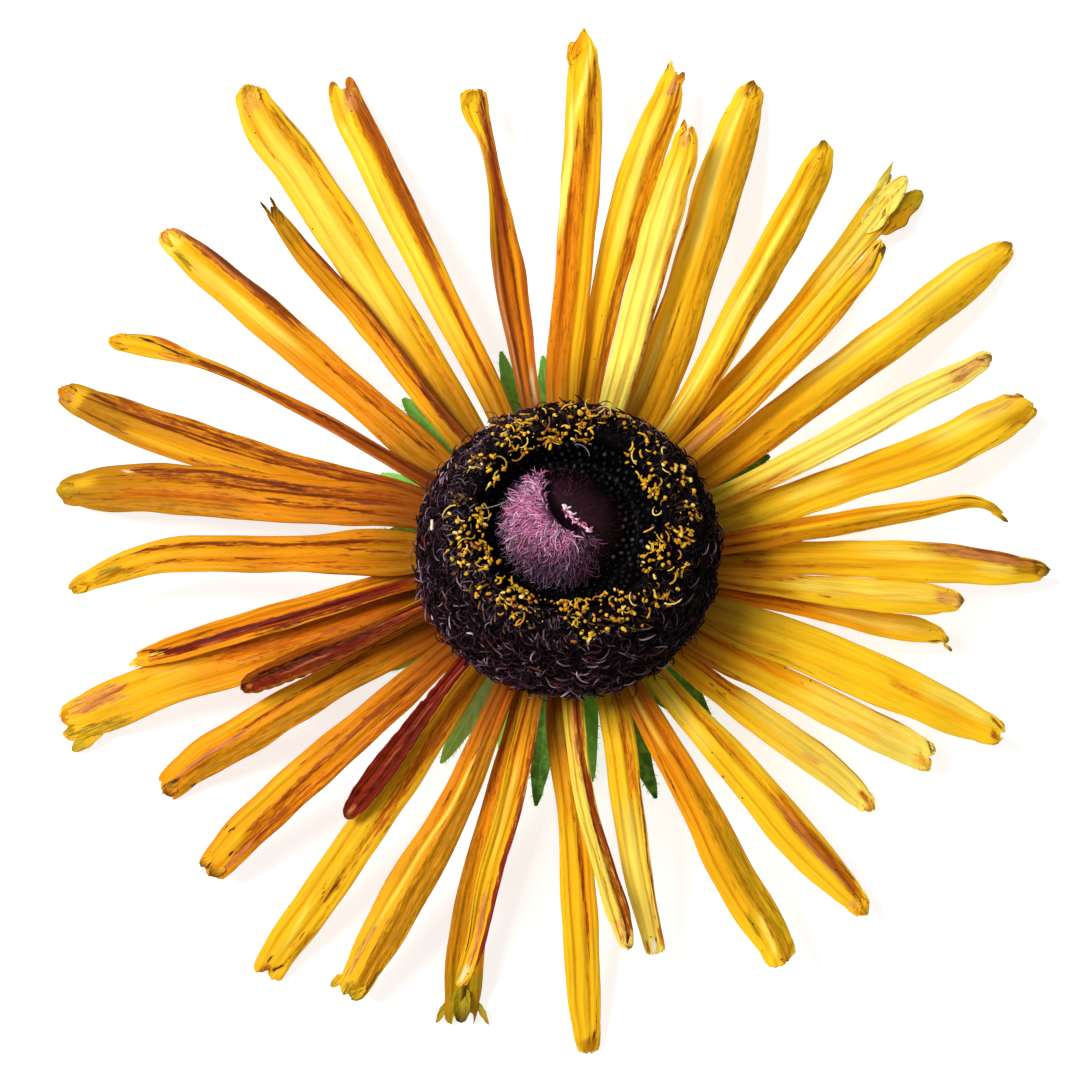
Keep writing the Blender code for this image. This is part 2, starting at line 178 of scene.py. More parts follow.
RAYS = (
    Ray("01", Whorl.UPPER, 4.4, 0.55, -0.08,
        "11 89.7 1.77; 20.6 87.6 2.6; 31.6 87.1 2.7; 37.9 87.4 2.08; 40.9 87.6 0.31",
        "AAY",
        "O 10 45 66 25 60 75; R 26 45 60 40 18 55; Y 12 -55 60 -50 25 50; B 69 30 75 26 10 90; "
        "R 62 -15 90 -50 32 75; B 82 -45 93 -78 11 80; P 50 88 80 50 20 90; "
        "P 76 58 95 -50 15 90; A 92 55 100 40 45 80; R 91.5 85 94 20 10 60",
        (0.94, 0.985, 1.0, 0.985, 0.94)),
    Ray("02", Whorl.MIDDLE, 3, 0.55, -0.12,
        "11.5 81.5 1.48; 21.3 80.4 2.39; 31.4 78.9 2.85; 36.9 77.8 2.05; 39.2 77.7 0.68",
        "AYY",
        "A 12 62 50 50 7 50; B 10 -52 52 -45 12 85; O 10 -88 48 -88 16 80; "
        "O 45 -60 95 -50 42 65; R 12 -60 50 -55 20 55; R 45 -72 62 -62 10 60; "
        "O 60 -60 80 -45 8 60; B 76 -42 95 -62 9 90; S 92 -10 99 -50 30 80; "
        "B 95.5 -30 97.5 -35 6 70; P 50 10 90 20 28 50; A 85 70 95 60 20 40",
        (0.937, 0.978, 0.993, 1, 0.986)),
    Ray("03", Whorl.UPPER, 5.2, 0.5, -0.1,
        "11.4 71.9 1.57; 20.2 73.5 2.46; 28.6 74.1 2.46; 32.3 74.1 1.9; 34.2 74.6 0.78",
        "PPY",
        "R 10 -90 62 -85 14 80; O 50 -85 97 -70 13 70; P 30 15 85 20 45 70; A 10 -5 30 -10 8 60; "
        "S 93 10 98 0 40 50; D 96.5 50 98.5 10 7 80; D 95 -35 97.5 -30 6 70; "
        "W 96.8 -8 98.2 -10 7 80; D 97.5 -60 99 -50 8 70",
        (0.982, 1, 0.986, 1, 0.978)),
    Ray("04", Whorl.LOWER, 0.6, 0.55, -0.12,
        "11.6 62 2.2; 23.4 66.5 3.2; 33.8 68.9 3.3; 38.6 69.4 2.3; 40.8 69.7 0.8",
        "AYY",
        "R 18 95 62 95 10 70; B 12 22 45 2 5 70; A 38 -22 95 -38 30 40; C 15 -75 97 -75 42 80; "
        "P 15 50 35 40 15 60; P 55 30 92 35 20 80; A 70 0 95 0 8 60; D 95 15 99 -5 20 65; "
        "W 96.5 -5 98 -5 6 90; S 95 50 98 40 15 50",
        (0.978, 0.986, 1, 0.991, 0.973)),
    Ray("05", Whorl.UPPER, 4.8, 0.6, -0.12,
        "10.9 49.8 1.43; 24.3 55.9 2.53; 32.6 57.8 2.53; 36 58.7 1.76; 37.3 59.4 0.33",
        "AYY",
        "P 10 50 55 22 25 70; R 10 -68 62 -68 22 70; B 30 -80 52 -75 7 50; "
        "A 60 -50 80 -40 30 45; C 50 -65 97 -50 50 75; P 50 10 80 15 12 70; A 55 65 90 50 18 50; "
        "C 85 30 97 20 40 40; D 97.5 10 100 0 30 80",
        (0.978, 0.991, 1, 0.986, 0.969)),
    Ray("06", Whorl.LOWER, 1, 0.35, 0,
        "13.1 47.5 1.1; 22.2 48 1.6; 31 49.5 2; 36.6 50.5 2.4; 39.4 51.1 2.1",
        "AYY",
        "B 10 30 22 20 60 40; A 30 50 65 50 40 60; P 30 -70 80 -60 30 60; "
        "S 10 -90 28 -100 20 60; P 65 10 90 10 40 60; C 83 -85 100 -90 30 80; "
        "G 90 80 100 70 25 50; O 74 -95 83 -90 8 60",
        (0.85, 0.895, 0.981, 0.948, 1, 0.97)),
    Ray("07", Whorl.UPPER, 5.4, 0.5, 0,
        "12.1 40.6 1.46; 21.6 42.8 1.98; 28.2 44.7 1.87; 31.5 45.6 1.35; 33.3 46.8 0.42",
        "AYY",
        "S 10 10 28 20 30 95; M 12 -20 30 0 5 40; A 30 45 80 35 30 40; Y 35 5 85 15 20 50; "
        "O 30 -70 85 -75 30 65; B 28 8 31 5 4 80; S 85 20 97 30 50 50; D 89 -50 98.5 -30 12 85; "
        "D 97 60 99.5 -10 12 70",
        (0.982, 0.996, 1, 1, 0.982)),
    Ray("08", Whorl.LOWER, 0.5, 0.55, -0.1,
        "11.8 33 1.87; 22 35.5 2.97; 31.8 36.9 3.08; 39.1 37.9 2.31; 41.6 38.1 0.44",
        "AYY",
        "O 10 92 50 92 10 70; P 45 45 95 50 25 60; A 10 10 40 -5 12 50; O 10 -85 60 -85 18 75; "
        "C 25 -75 97 -62 32 70; B 27 -15 29 -18 4 70; M 97.5 60 99.5 -20 14 70; "
        "D 98.5 10 100 0 20 60",
        (0.982, 0.993, 1, 0.996, 0.978)),
    Ray("09", Whorl.UPPER, 4.3, 0.45, 0,
        "11.3 20.9 1.3; 19.5 23.9 1.94; 28.3 26.5 2.05; 32.7 27.2 1.51; 34.6 27.8 0.65",
        "YPP",
        "G 10 60 18 50 50 50; O 10 -60 35 -50 40 60; P 40 10 85 10 60 70; S 86 0 97 0 60 70; "
        "B 95.5 30 99 -40 25 85; O 50 -90 65 -90 6 50; O 82 -55 90 -50 10 40",
        (0.973, 0.993, 1, 0.996, 0.982)),
    Ray("10", Whorl.MIDDLE, 2.2, 0.45, 0,
        "11.1 13.2 1.94; 19.9 16.6 2.7; 29.4 18.9 3.24; 33.8 20.8 2.92; 36 21.8 1.51",
        "YYY",
        "C 10 30 20 20 80 50; O 10 92 55 95 10 60; P 30 20 45 20 30 40; A 45 20 70 10 50 40; "
        "P 70 50 95 40 30 60; R 95.5 80 99 50 15 80; C 90 -50 100 -50 25 70; "
        "S 85 50 97 30 25 35; B 74 -85 90 -80 4 50",
        (0.993, 1, 0.996, 0.982, 0.955), -0.1),
    Ray("11", Whorl.UPPER, 4.6, 0.6, 0,
        "10.9 5 1.3; 17.8 7.5 1.73; 25.3 9.1 1.3; 30.1 9.3 0.76; 31.4 8.1 0.32",
        "OAY",
        "R 10 75 45 65 30 50; Y 25 10 60 0 35 45; B 12 -20 30 -30 15 40; P 60 20 70 10 20 40; "
        "B 85 50 93 45 12 85; C 95 0 100 0 80 65; O 80 -70 90 -60 15 50; C 30 -60 95 -50 50 60; "
        "G 97 20 100 10 40 60",
        (0.996, 1, 1, 0.986, 0.969), -0.3),
    Ray("12", Whorl.MIDDLE, 2, 0.5, 0.06,
        "10.9 0.7 1.73; 18.9 1.4 2.48; 27.5 1.4 2.81; 32.5 1.2 1.84; 34.6 1.4 0.43",
        "AYY",
        "B 10 30 24 20 70 50; O 12 -50 50 -45 14 60; P 50 40 70 30 30 50; A 40 -10 90 -10 10 50; "
        "R 64 85 96 35 45 70; S 70 60 93 40 25 80; M 78 95 98 65 16 80; P 80 -20 90 -10 30 40; "
        "C 90 10 98 0 50 70; D 95.5 30 100 0 60 95",
        (0.969, 0.986, 1, 0.993, 0.978)),
    Ray("13", Whorl.UPPER, 5.2, 0.5, 0,
        "11 351.9 1.04; 17.7 353.3 1.98; 22.5 354.2 2.39; 26.7 355.2 1.77; 28.2 355.4 0.42",
        "OYY",
        "R 12 -50 40 -60 20 70; O 12 50 50 80 25 60; P 40 20 90 20 50 50; A 50 -10 80 0 8 50; "
        "B 34.5 40 36 40 5 70; B 43 35 44 35 4 60; R 49 -40 53 -45 7 80; S 90 20 97 10 50 60; "
        "D 96.5 40 98.5 -50 10 70",
        (0.978, 0.993, 1, 1, 0.986)),
    Ray("14", Whorl.MIDDLE, 3.2, 0.45, 0,
        "11.3 348.6 0.94; 17.9 349.7 1.46; 22.9 350.2 1.77; 26.1 350.9 1.46; 27.5 350.8 0.42",
        "OAY",
        "R 10 40 50 50 40 70; O 20 0 45 -20 40 60; P 55 10 90 10 50 45; B 45 0 47 0 10 70; "
        "A 46 0 46.5 0 4 80; D 93 -80 98.5 -60 10 75; D 95.5 70 99 -20 8 75",
        (0.964, 0.986, 1, 0.986, 0.969)),
    Ray("15", Whorl.UPPER, 4.6, 0.4, 0,
        "10.8 338.6 2.05; 18.4 339.4 3.46; 26.2 339.2 3.24; 30.95 339.1 2.27; 32.8 339.1 0.97",
        "CYY",
        "C 10 30 20 20 80 50; O 10 -50 35 -50 30 30; B 10 -70 42 -82 3.5 70; O 65 10 75 0 14 65; "
        "A 70 0 95 -10 12 50; P 75 50 95 50 35 50; B 95 75 99 50 12 85; R 96.5 -10 99 -50 30 80; "
        "Y 95 -60 99 -70 10 60",
        (0.986, 1, 0.989, 1, 0.989)),
    Ray("16", Whorl.MIDDLE, 2.8, 0.45, 0.05,
        "10.5 329.4 1.91; 18 331.1 2.33; 24.1 332.4 2.65; 27.575 333.1 2.33; 29.05 333.4 1.7",
        "OYP",
        "R 10 -80 40 -100 20 60; A 20 30 50 50 30 50; B 22 45 38 45 4 50; P 55 40 90 30 60 60; "
        "A 70 -20 80 -20 15 40; B 50 50 51 50 4 80; M 73 100 85 95 7 70; D 96 90 98.5 30 10 85; "
        "A 94 -30 100 -60 30 60",
        (1, 0.993, 0.982, 0.996, 0.978)),
    Ray("17", Whorl.LOWER, 1, 0.55, 0,
        "10.6 320.3 1.3; 17.9 322.3 2.2; 23.9 323.9 2.12; 26.1 323.7 1.48; 27.2 323.6 0.32",
        "AYP",
        "R 12 90 40 70 15 70; O 20 50 40 30 20 60; K 27 -10 29 -15 5 90; "
        "K 30.5 -25 34.5 -30 6 90; K 33 -5 34 -10 5 80; K 36 -50 37 -55 3 70; "
        "P 40 40 90 30 40 50; S 68 -20 75 -10 15 60; R 70 95 95 85 6 75; O 92 30 97 20 30 70; "
        "C 97 20 100 0 50 60",
        (0.969, 0.986, 1, 1, 0.978)),
    Ray("18", Whorl.MIDDLE, 2.4, 0.5, -0.06,
        "10.4 308.4 1.35; 19.6 310.2 2.7; 27.3 310.9 2.76; 30.45 311.5 1.7; 31.9 311.5 0.64",
        "YYY",
        "B 12 40 40 10 5 75; O 10 60 50 30 28 60; P 12 -40 35 -40 30 50; O 56 50 97 35 42 75; "
        "R 64 50 96 40 27 75; S 62 35 90 15 14 60; B 72 62 93 32 12 70; D 84 85 91 80 6 70; "
        "D 95.5 30 99 10 18 70; S 94 -40 98 -50 30 60",
        (0.982, 0.993, 1, 0.993, 0.973)),
    Ray("19", Whorl.UPPER, 4.6, 0.45, 0,
        "10.7 297.6 1.45; 18.4 298.4 2.45; 26.4 298.4 2.97; 30.1 299 2.44; 31.6 298.7 1.48",
        "OAY",
        "O 10 30 50 40 30 45; B 14 10 46 15 4.5 85; B 18 -50 50 -82 6 60; P 10 -20 30 -20 12 40; "
        "C 42 40 100 40 60 65; G 60 60 95 50 30 40; G 82 -30 90 -60 15 70; P 85 0 97 -20 12 60; "
        "C 95 60 100 20 30 80; Y 97 -60 100 -60 20 70; R 30 -30 60 -50 5 40",
        (0.993, 1, 1, 0.991, 0.978)),
    Ray("20", Whorl.MIDDLE, 3, 0.6, 0,
        "10.3 289.1 1.6; 17.2 285.1 2.2; 22.9 283.6 1.9; 26.1 283.7 1.5; 27.5 283.7 1.3",
        "YYP",
        "B 10 30 16 20 60 40; O 15 30 50 60 30 60; P 50 0 90 -30 50 60; M 45 85 95 85 7 90; "
        "R 80 60 93 40 15 60; O 92 80 98 90 30 85; K 94.5 35 96.5 20 7 85; "
        "W 95.5 0 99 -20 20 100; O 95 -60 99 -70 15 70",
        (0.991, 1, 1, 1, 0.991), 0.35),
    Ray("21", Whorl.UPPER, 5, 0.5, 0,
        "10 274.3 1.19; 17 275.4 1.4; 21.8 277.8 1.51; 25.4 279.3 1.4; 27.2 279.7 0.32",
        "YPP",
        "M 10 30 20 30 30 65; R 12 30 55 55 34 80; S 10 -10 35 -15 12 85; M 12 0 30 -5 4 70; "
        "B 15 55 45 35 6 35; M 38 60 58 60 26 85; R 52 62 95 55 46 90; M 56 92 92 92 10 80; "
        "P 20 -60 60 -20 30 50; R 62 -20 82 -35 4 50; S 88 -20 97 -30 40 60; D 94.5 40 99 0 20 85",
        (0.978, 0.991, 1, 0.991, 0.978)),
    Ray("22", Whorl.LOWER, 0.5, 0.45, -0.05,
        "9.6 269.4 1.51; 17.7 272.6 2.16; 25.7 273 2.48; 31.3 273.1 1.94; 33.2 273.3 1.19",
        "OYY",
        "G 10 20 20 10 60 50; P 20 30 45 60 15 50; A 40 40 70 50 30 50; R 42 22 76 36 9 85; "
        "O 30 0 40 -10 20 40; B 85 75 97 70 4 70; B 94.5 60 98.5 40 10 80; C 96.5 0 100 -10 70 70",
        (0.993, 1, 1, 1, 0.993)),
    Ray("23", Whorl.LOWER, 0.7, 0.6, 0,
        "10 253.8 0.95; 17.2 254.5 1.55; 25.2 255.5 2.5; 30.35 256.9 2.39; 32 257.3 1.77",
        "AAC",
        "G 10 50 25 -20 20 60; O 10 -30 50 -50 50 30; C 50 -50 90 -70 40 60; "
        "G 85 30 100 0 90 70; D 89 10 94 10 14 85; D 96.5 50 99.5 -20 10 80; "
        "Y 93 -40 97 -50 15 50",
        (0.986, 1, 0.969, 0.993, 0.964, 0.996), 0.25),
    Ray("24", Whorl.UPPER, 4.6, -0.55, 0.1,
        "10.2 258.9 1.14; 17.8 258.4 1.77; 23.5 257.4 1.56; 27.2 257.4 1.25; 30.1 256.6 0.62",
        "AYY",
        "M 22 90 60 80 14 75; R 10 60 60 70 20 50; A 10 -20 50 10 50 60; M 55 85 93 85 25 95; "
        "P 30 -20 60 -20 20 50; Y 40 20 90 10 30 60; S 70 10 95 0 30 60; B 75 -75 90 -78 7 65; "
        "O 10 -40 30 -70 15 60; W 93 0 98.5 -20 40 55; O 97 80 100 30 20 50",
        (0.993, 1, 1, 0.991, 0.986)),
    Ray("25", Whorl.MIDDLE, 2.2, 0.5, 0.12,
        "10.4 246.8 1.35; 18 246.9 2.4; 26.1 244.6 3.19; 30.85 243.8 2.42; 33.1 243.7 1.21",
        "OAY",
        "O 10 50 50 60 40 50; B 10 0 30 -10 10 40; B 20 25 45 -15 4.5 75; A 30 -10 50 -20 20 50; "
        "C 20 60 100 50 50 75; P 30 -10 95 -50 9 80; R 35 -50 60 -60 6 50; "
        "S 80 -40 95 -60 15 50; K 90 85 96 80 4 80; K 95.2 50 96.5 40 5 85; G 96 0 100 0 70 50",
        (0.978, 0.996, 0.986, 1, 0.982)),
    Ray("26", Whorl.LOWER, 0.5, 0.4, 0,
        "10.3 232.6 1.47; 19.3 233.6 2.62; 29.1 233.6 2.73; 32.95 233.4 2.42; 34.6 233.6 1.89",
        "AYY",
        "O 10 30 55 40 40 55; C 50 40 80 50 30 30; B 68 40 76 30 5 75; B 72 -15 79 30 5 70; "
        "Y 75 0 95 -10 50 80; P 78 -30 92 20 10 60; C 80 80 95 80 15 60; B 85 50 90 40 4 50; "
        "D 95 60 98 20 8 75; D 94.5 -20 96.5 -25 7 80; R 97 0 100 -30 30 60",
        (0.993, 1, 0.982, 0.996, 0.986)),
    Ray("27", Whorl.UPPER, 5.6, -0.85, 0,
        "9.9 228.1 0.73; 15.4 229.5 1.21; 19.8 230.1 1.68; 22.1 230.1 1.21; 23.1 230 0.42",
        "MMM",
        "M 0 0 100 0 120 80; D 30 65 90 50 20 40; S 12 45 30 35 10 50; R 10 -70 30 -90 12 50; "
        "S 34 20 50 5 5 50; S 60 10 72 0 5 45; B 30 -25 80 -45 12 50; B 45 30 95 20 10 50; "
        "R 50 -45 90 -40 12 40; S 93 0 97.5 -10 20 50; D 96 40 99 30 20 60",
        (0.986, 1, 1, 1, 0.986)),
    Ray("28", Whorl.MIDDLE, 2, 0.45, 0,
        "10.3 219.9 1.48; 17.1 220.3 2.54; 26.1 219.8 2.86; 30.4 220.1 2.54; 32.3 220.5 1.7",
        "OAA",
        "R 10 0 45 -10 20 50; B 13 35 42 40 4.5 75; O 10 80 90 80 30 50; R 28 0 85 10 16 60; "
        "R 60 40 95 50 10 60; B 70 62 90 66 4.5 70; A 50 -50 90 -50 40 50; "
        "Y 60 -50 97 -40 35 55; R 30 -45 60 -50 5 50; Y 85 0 95 20 20 60; "
        "K 82 -90 82.5 -95 3 90; K 86 -50 87.2 -55 4 90; K 86.5 -82 88 -82 4 90; "
        "K 90.5 30 92 30 5 90; D 97 50 99.7 20 12 85; B 97 -20 100 -50 20 60; S 85 60 95 60 10 50",
        (0.996, 0.986, 1, 0.993, 0.982)),
    Ray("29", Whorl.LOWER, 0.8, 0.5, 0,
        "9.8 207.8 1.73; 16.8 207.3 2.45; 25.1 207.2 2.96; 29.375 207.2 2.45; 31.65 208.1 1.43",
        "OAA",
        "R 10 -90 40 -100 10 60; B 10 -50 40 -50 5 75; R 30 -42 70 -20 12 70; "
        "C 25 60 97 60 42 70; B 60 -25 95 20 4.5 80; S 70 -10 95 10 10 65; R 84 32 93 20 5 70; "
        "Y 50 -60 95 -50 25 50; D 94 10 98.5 -20 12 85; K 90 100 92 95 6 80; G 96 30 100 30 40 60",
        (0.978, 0.986, 1, 0.993, 0.986)),
    Ray("30", Whorl.UPPER, 5.6, -0.8, 0,
        "9.8 201.2 0.97; 14.8 202.5 1.4; 19.9 201.8 1.84; 22.4 201.4 1.51; 23.8 201.4 0.54",
        "RRR",
        "B 10 60 100 60 40 50; M 10 -30 100 30 30 90; D 30 -25 97 -25 30 60; "
        "O 10 -10 25 -20 7 60; S 12 -20 45 -60 5 60; S 60 10 80 15 5 60; B 50 50 95 50 14 50; "
        "S 47 -75 60 -75 4 60; Y 10 -95 25 -100 12 70; S 95 10 98 0 15 50",
        (0.982, 1, 1, 0.993, 0.978)),
    Ray("31", Whorl.LOWER, 0.5, 0.3, 0,
        "9.6 195.8 2.16; 19.4 196.7 3.09; 29.5 195.5 3.4; 34.7 195.9 3.09; 36.6 196 1.96",
        "OAY",
        "R 10 50 40 60 20 40; O 15 -30 60 -30 50 60; A 50 20 80 30 40 50; Y 65 20 90 20 50 50; "
        "P 65 -30 75 -50 10 50; G 84 70 98 80 30 50; B 88 60 95 50 4 40; S 82 -35 97 -50 40 55; "
        "R 82 -50 92 -20 5 50; G 97 30 100 30 30 50",
        (0.98, 0.996, 0.98, 0.986, 1, 0.991)),
    Ray("32", Whorl.MIDDLE, 3, -0.45, 0,
        "9.5 187.7 1.22; 17.7 190.6 1.94; 25.1 191.3 1.94; 28.9 191.4 1.43; 30.5 191.3 0.61",
        "OAA",
        "B 15 70 60 80 15 65; B 25 50 60 60 10 60; M 12 25 92 15 34 88; D 20 20 90 5 9 70; "
        "O 30 42 70 36 5 60; Y 10 -30 40 -35 8 70; A 30 -70 95 -60 20 70; R 60 -40 90 -50 5 60; "
        "S 72 35 80 30 5 60; D 88 -10 95 -40 12 80; P 90 5 95 -10 9 80; Y 95.5 40 100 0 60 80; "
        "B 93 -50 97 -70 10 70",
        (0.993, 0.986, 1, 0.993, 0.986)),
    Ray("33", Whorl.UPPER, 4, 0.45, 0,
        "9.5 178.2 2.06; 18.6 178.6 2.58; 29.5 179 2.27; 32.9 180.8 1.44; 34.5 181.7 0.62",
        "AAY",
        "B 22 -48 86 -52 6 75; R 20 -45 80 -50 20 40; O 20 60 50 60 20 40; B 12 2 26 -10 4.5 85; "
        "B 10 -40 30 -40 4 65; B 55 -40 58.5 -40 4.5 80; R 45 30 80 40 10 50; "
        "R 60 -40 80 -45 4 60; C 80 50 95 50 30 50; G 85 0 92 -10 20 60; Y 80 -70 95 -60 25 60; "
        "C 95 0 100 0 80 50",
        (0.982, 1, 1, 0.986, 0.973), -0.2),
    Ray("34", Whorl.MIDDLE, 1.8, 0.4, 0,
        "10.1 160.5 1.85; 19.2 166.1 3.3; 29.2 167.7 3.6; 34.7 168.9 2.47; 36.5 169.4 0.72",
        "OAC",
        "R 10 -30 80 -55 38 48; B 12 -12 60 -30 5 85; B 35 -60 78 -72 6 80; R 30 30 75 25 8 50; "
        "B 14 50 30 20 4 75; B 20 0 42 -30 3.5 85; B 30 -30 55 -60 4 75; B 37 -50 50 -60 3.5 65; "
        "O 50 30 85 30 30 50; C 50 70 95 60 30 50; B 75 -55 81 -65 4.5 75; "
        "W 81 -65 82.7 -70 4.5 100; Y 90 -40 100 -20 30 60; G 95 0 100 0 50 30; "
        "D 83 50 90 50 2.5 40; B 20 35 45 10 3 50",
        (0.986, 0.996, 1, 0.991, 0.978)),
    Ray("35", Whorl.LOWER, 0.5, 0.45, -0.12,
        "10.4 154.7 1.27; 20 159.7 2.54; 30.7 159.4 3.07; 36.1 158.6 2.33; 38.9 157.9 0.85",
        "OAC",
        "R 15 50 60 70 25 60; B 20 20 40 -30 3.5 75; R 12 -45 90 -55 42 48; Y 40 40 80 50 20 50; "
        "B 40 0 90 -30 5 80; B 15 -50 70 -65 6 80; B 15 -12 45 -18 5 80; B 55 -30 90 -35 4.5 70; "
        "C 80 30 93 20 50 60; B 80 60 92 50 5 65; B 85 -50 92 -70 10 65; Y 93 0 97 0 80 70; "
        "S 95.5 30 100 20 40 85; R 96.5 -30 99 -50 15 75",
        (0.978, 0.991, 1, 0.993, 0.982)),
    Ray("36", Whorl.UPPER, 4.6, 0.8, -0.15,
        "10.5 149.6 0.95; 20.4 148.9 0.95; 28.9 149.5 0.73; 34.6 151.2 1.47; 36.3 152.1 0.63",
        "ROY",
        "B 10 -30 45 -30 35 65; R 10 30 80 40 40 60; B 50 0 82 -10 35 65; S 15 85 50 85 12 50; "
        "D 78 10 93 -55 8 85; Y 84 60 100 30 60 95; D 92 -85 98 -90 6 80; S 80 70 87 55 15 60; "
        "O 80 -60 90 -80 20 70",
        (0.986, 1, 1, 1, 0.986)),
    Ray("37", Whorl.MIDDLE, 2.4, 0.5, -0.12,
        "10.8 141.4 2.03; 17.6 139.9 2.46; 31 138.3 2.78; 36.65 137.9 2.03; 38.7 137.9 1.07",
        "AAY",
        "C 10 50 20 50 50 50; B 10 -20 35 -20 5 85; D 12 -50 25 -60 6 75; O 20 -60 45 -50 25 60; "
        "R 35 -20 50 -20 5 60; P 55 20 90 40 25 70; R 56 -72 94 -78 34 85; "
        "B 62 -80 92 -86 16 80; S 72 -60 90 -65 8 50; G 87 60 94 50 18 75; P 94 20 100 20 80 70; "
        "S 95 -60 100 -60 30 70",
        (0.982, 0.993, 1, 1, 0.986)),
    Ray("38", Whorl.UPPER, 5.2, 0.55, -0.15,
        "11.9 130.3 1.16; 22.8 128.3 1.68; 29.8 128.4 1.47; 32.5 128 1.05; 34 127.9 0.42",
        "AAC",
        "R 10 -75 87 -85 30 80; B 10 -85 87 -92 16 80; B 10 -40 30 -40 30 85; "
        "M 12 -30 30 -20 6 50; R 30 -10 60 -30 15 50; Y 15 50 60 60 30 50; O 40 50 60 20 10 50; "
        "B 84 50 90 40 5 60; C 85 0 97 0 70 60; K 96.5 40 99 -60 10 90; B 95 80 100 100 10 70",
        (0.99, 0.95, 0.93, 0.965, 1.0)),
    Ray("39", Whorl.MIDDLE, 2, 0.45, 0,
        "11.8 124.7 1.98; 23.2 122.8 3.22; 35.5 122 3.43; 42 121.9 2.6; 43.8 121.4 1.14",
        "AYY",
        "C 10 40 20 30 60 50; P 35 30 90 30 50 40; O 15 -50 40 -60 12 50; O 50 -50 95 -50 8 65; "
        "C 75 -55 93 -62 18 65; B 70 -92 90 -88 4 60; O 80 60 90 40 5 60; S 93 20 100 10 50 50; "
        "A 85 50 95 50 20 40",
        (0.978, 0.991, 1, 1, 0.982)),
    Ray("40", Whorl.LOWER, 0.6, 0.55, -0.12,
        "11.8 111.5 1.47; 22.2 113.1 2.31; 34.5 113.3 2.62; 39.4 113.2 2.42; 41.3 112.8 1.89",
        "AYY",
        "C 10 -70 25 -80 30 60; P 30 40 95 50 30 30; B 15 -30 60 -36 5 80; R 22 -10 45 -25 4 60; "
        "A 10 -70 50 -70 30 60; O 10 -30 55 -40 16 70; R 20 -32 60 -42 12 75; "
        "O 50 -50 97 -55 50 80; R 52 -62 97 -62 30 80; B 50 -50 95 -55 14 80; "
        "M 60 -85 95 -85 12 60; S 92 -10 98.5 -30 35 75; B 95 -10 98 -20 10 50; "
        "A 90 60 100 70 30 50",
        (0.984, 0.993, 0.98, 1, 0.996)),
    Ray("41", Whorl.MIDDLE, 2.8, -0.6, -0.1,
        "11.6 100.7 1.2; 21.3 99.8 2.3; 32.9 99.5 1.1; 36 100 2; 37.2 99.8 1.5",
        "ORY",
        "R 30 0 85 0 50 70; S 10 60 50 85 20 70; B 12 35 60 30 13 85; B 12 -25 60 -20 12 85; "
        "O 12 5 60 5 20 80; W 12 -40 20 -50 20 45; A 20 -45 60 -50 14 75; R 30 -85 60 -90 10 60; "
        "B 50 10 80 20 20 55; R 60 -50 90 -90 30 60; S 72 85 88 55 18 60; M 58 -10 99 -70 45 90; "
        "D 62 -20 97 -60 14 70; Y 87 50 100 50 40 90; D 93 -70 99 -65 6 75",
        (0.986, 1, 1, 1, 0.986)),
)


# ---------------------------------------------------------------- arrays and meshes

def smooth_curve(knots: Array, values: Array, where: Array) -> Array:
    """Cubic curve through values at knots, with slopes from the neighbouring spans.

    Formula: on each span, the Hermite cubic of its end values and end slopes, where a slope is
    the mean of the two neighbouring chords, each weighted by the other's length.

    Args:
        knots: rising parameter of each value.
        values: value at each knot.
        where: parameters to work the curve out at, in an array of any shape.

    Returns:
        The curve's value at each of where.
    """
    step = np.diff(knots)
    slope = np.diff(values) / step
    tangent = np.empty(len(values))
    tangent[1:-1] = (slope[:-1] * step[1:] + slope[1:] * step[:-1]) / (step[1:] + step[:-1])
    tangent[0] = 2.0 * slope[0] - tangent[1]
    tangent[-1] = 2.0 * slope[-1] - tangent[-2]
    span = np.clip(np.searchsorted(knots, where, side="right") - 1, 0, len(step) - 1)
    s = (where - knots[span]) / step[span]
    h = step[span]
    return ((2 * s**3 - 3 * s**2 + 1) * values[span]
            + (s**3 - 2 * s**2 + s) * h * tangent[span]
            + (3 * s**2 - 2 * s**3) * values[span + 1]
            + (s**3 - s**2) * h * tangent[span + 1])


def smoothstep(low: float | Array, high: float | Array, value: Array) -> Array:
    """Rises from 0 at low to 1 at high as 3t^2 - 2t^3."""
    t = np.clip((value - low) / (high - low), 0.0, 1.0)
    return t * t * (3.0 - 2.0 * t)


def full_turn(count: int) -> Array:
    """Evenly spaced angles round one full turn."""
    return np.linspace(0.0, math.tau, count, endpoint=False)


def draws(rng: Generator, count: int, *ranges: tuple[float, float]) -> list[Array]:
    """Count even draws from each range in turn."""
    return [rng.uniform(low, high, count) for low, high in ranges]


def unit(vectors: Array) -> Array:
    """Each vector at length 1."""
    return vectors / np.maximum(np.linalg.norm(vectors, axis=-1, keepdims=True), 1e-9)


class Wander:
    """A smooth random wave: a sum of cosines with random frequencies, phases and heights."""

    def __init__(self, rng: Generator, low: float, high: float, count: int = 6) -> None:
        """Draws the cosines.

        Args:
            rng: source of the draws.
            low: lowest frequency, in waves per unit.
            high: highest frequency.
            count: number of cosines.
        """
        self.frequency = rng.uniform(low, high, count)
        self.phase = rng.uniform(0.0, math.tau, count)
        self.height = rng.uniform(0.5, 1.0, count)
        self.height /= np.sqrt(np.sum(self.height**2) / 2.0)

    def __call__(self, where: Array) -> Array:
        """The wave's height, about -1 to 1, at each of where."""
        angle = math.tau * where[..., None] * self.frequency + self.phase
        return np.cos(angle) @ self.height * 0.5


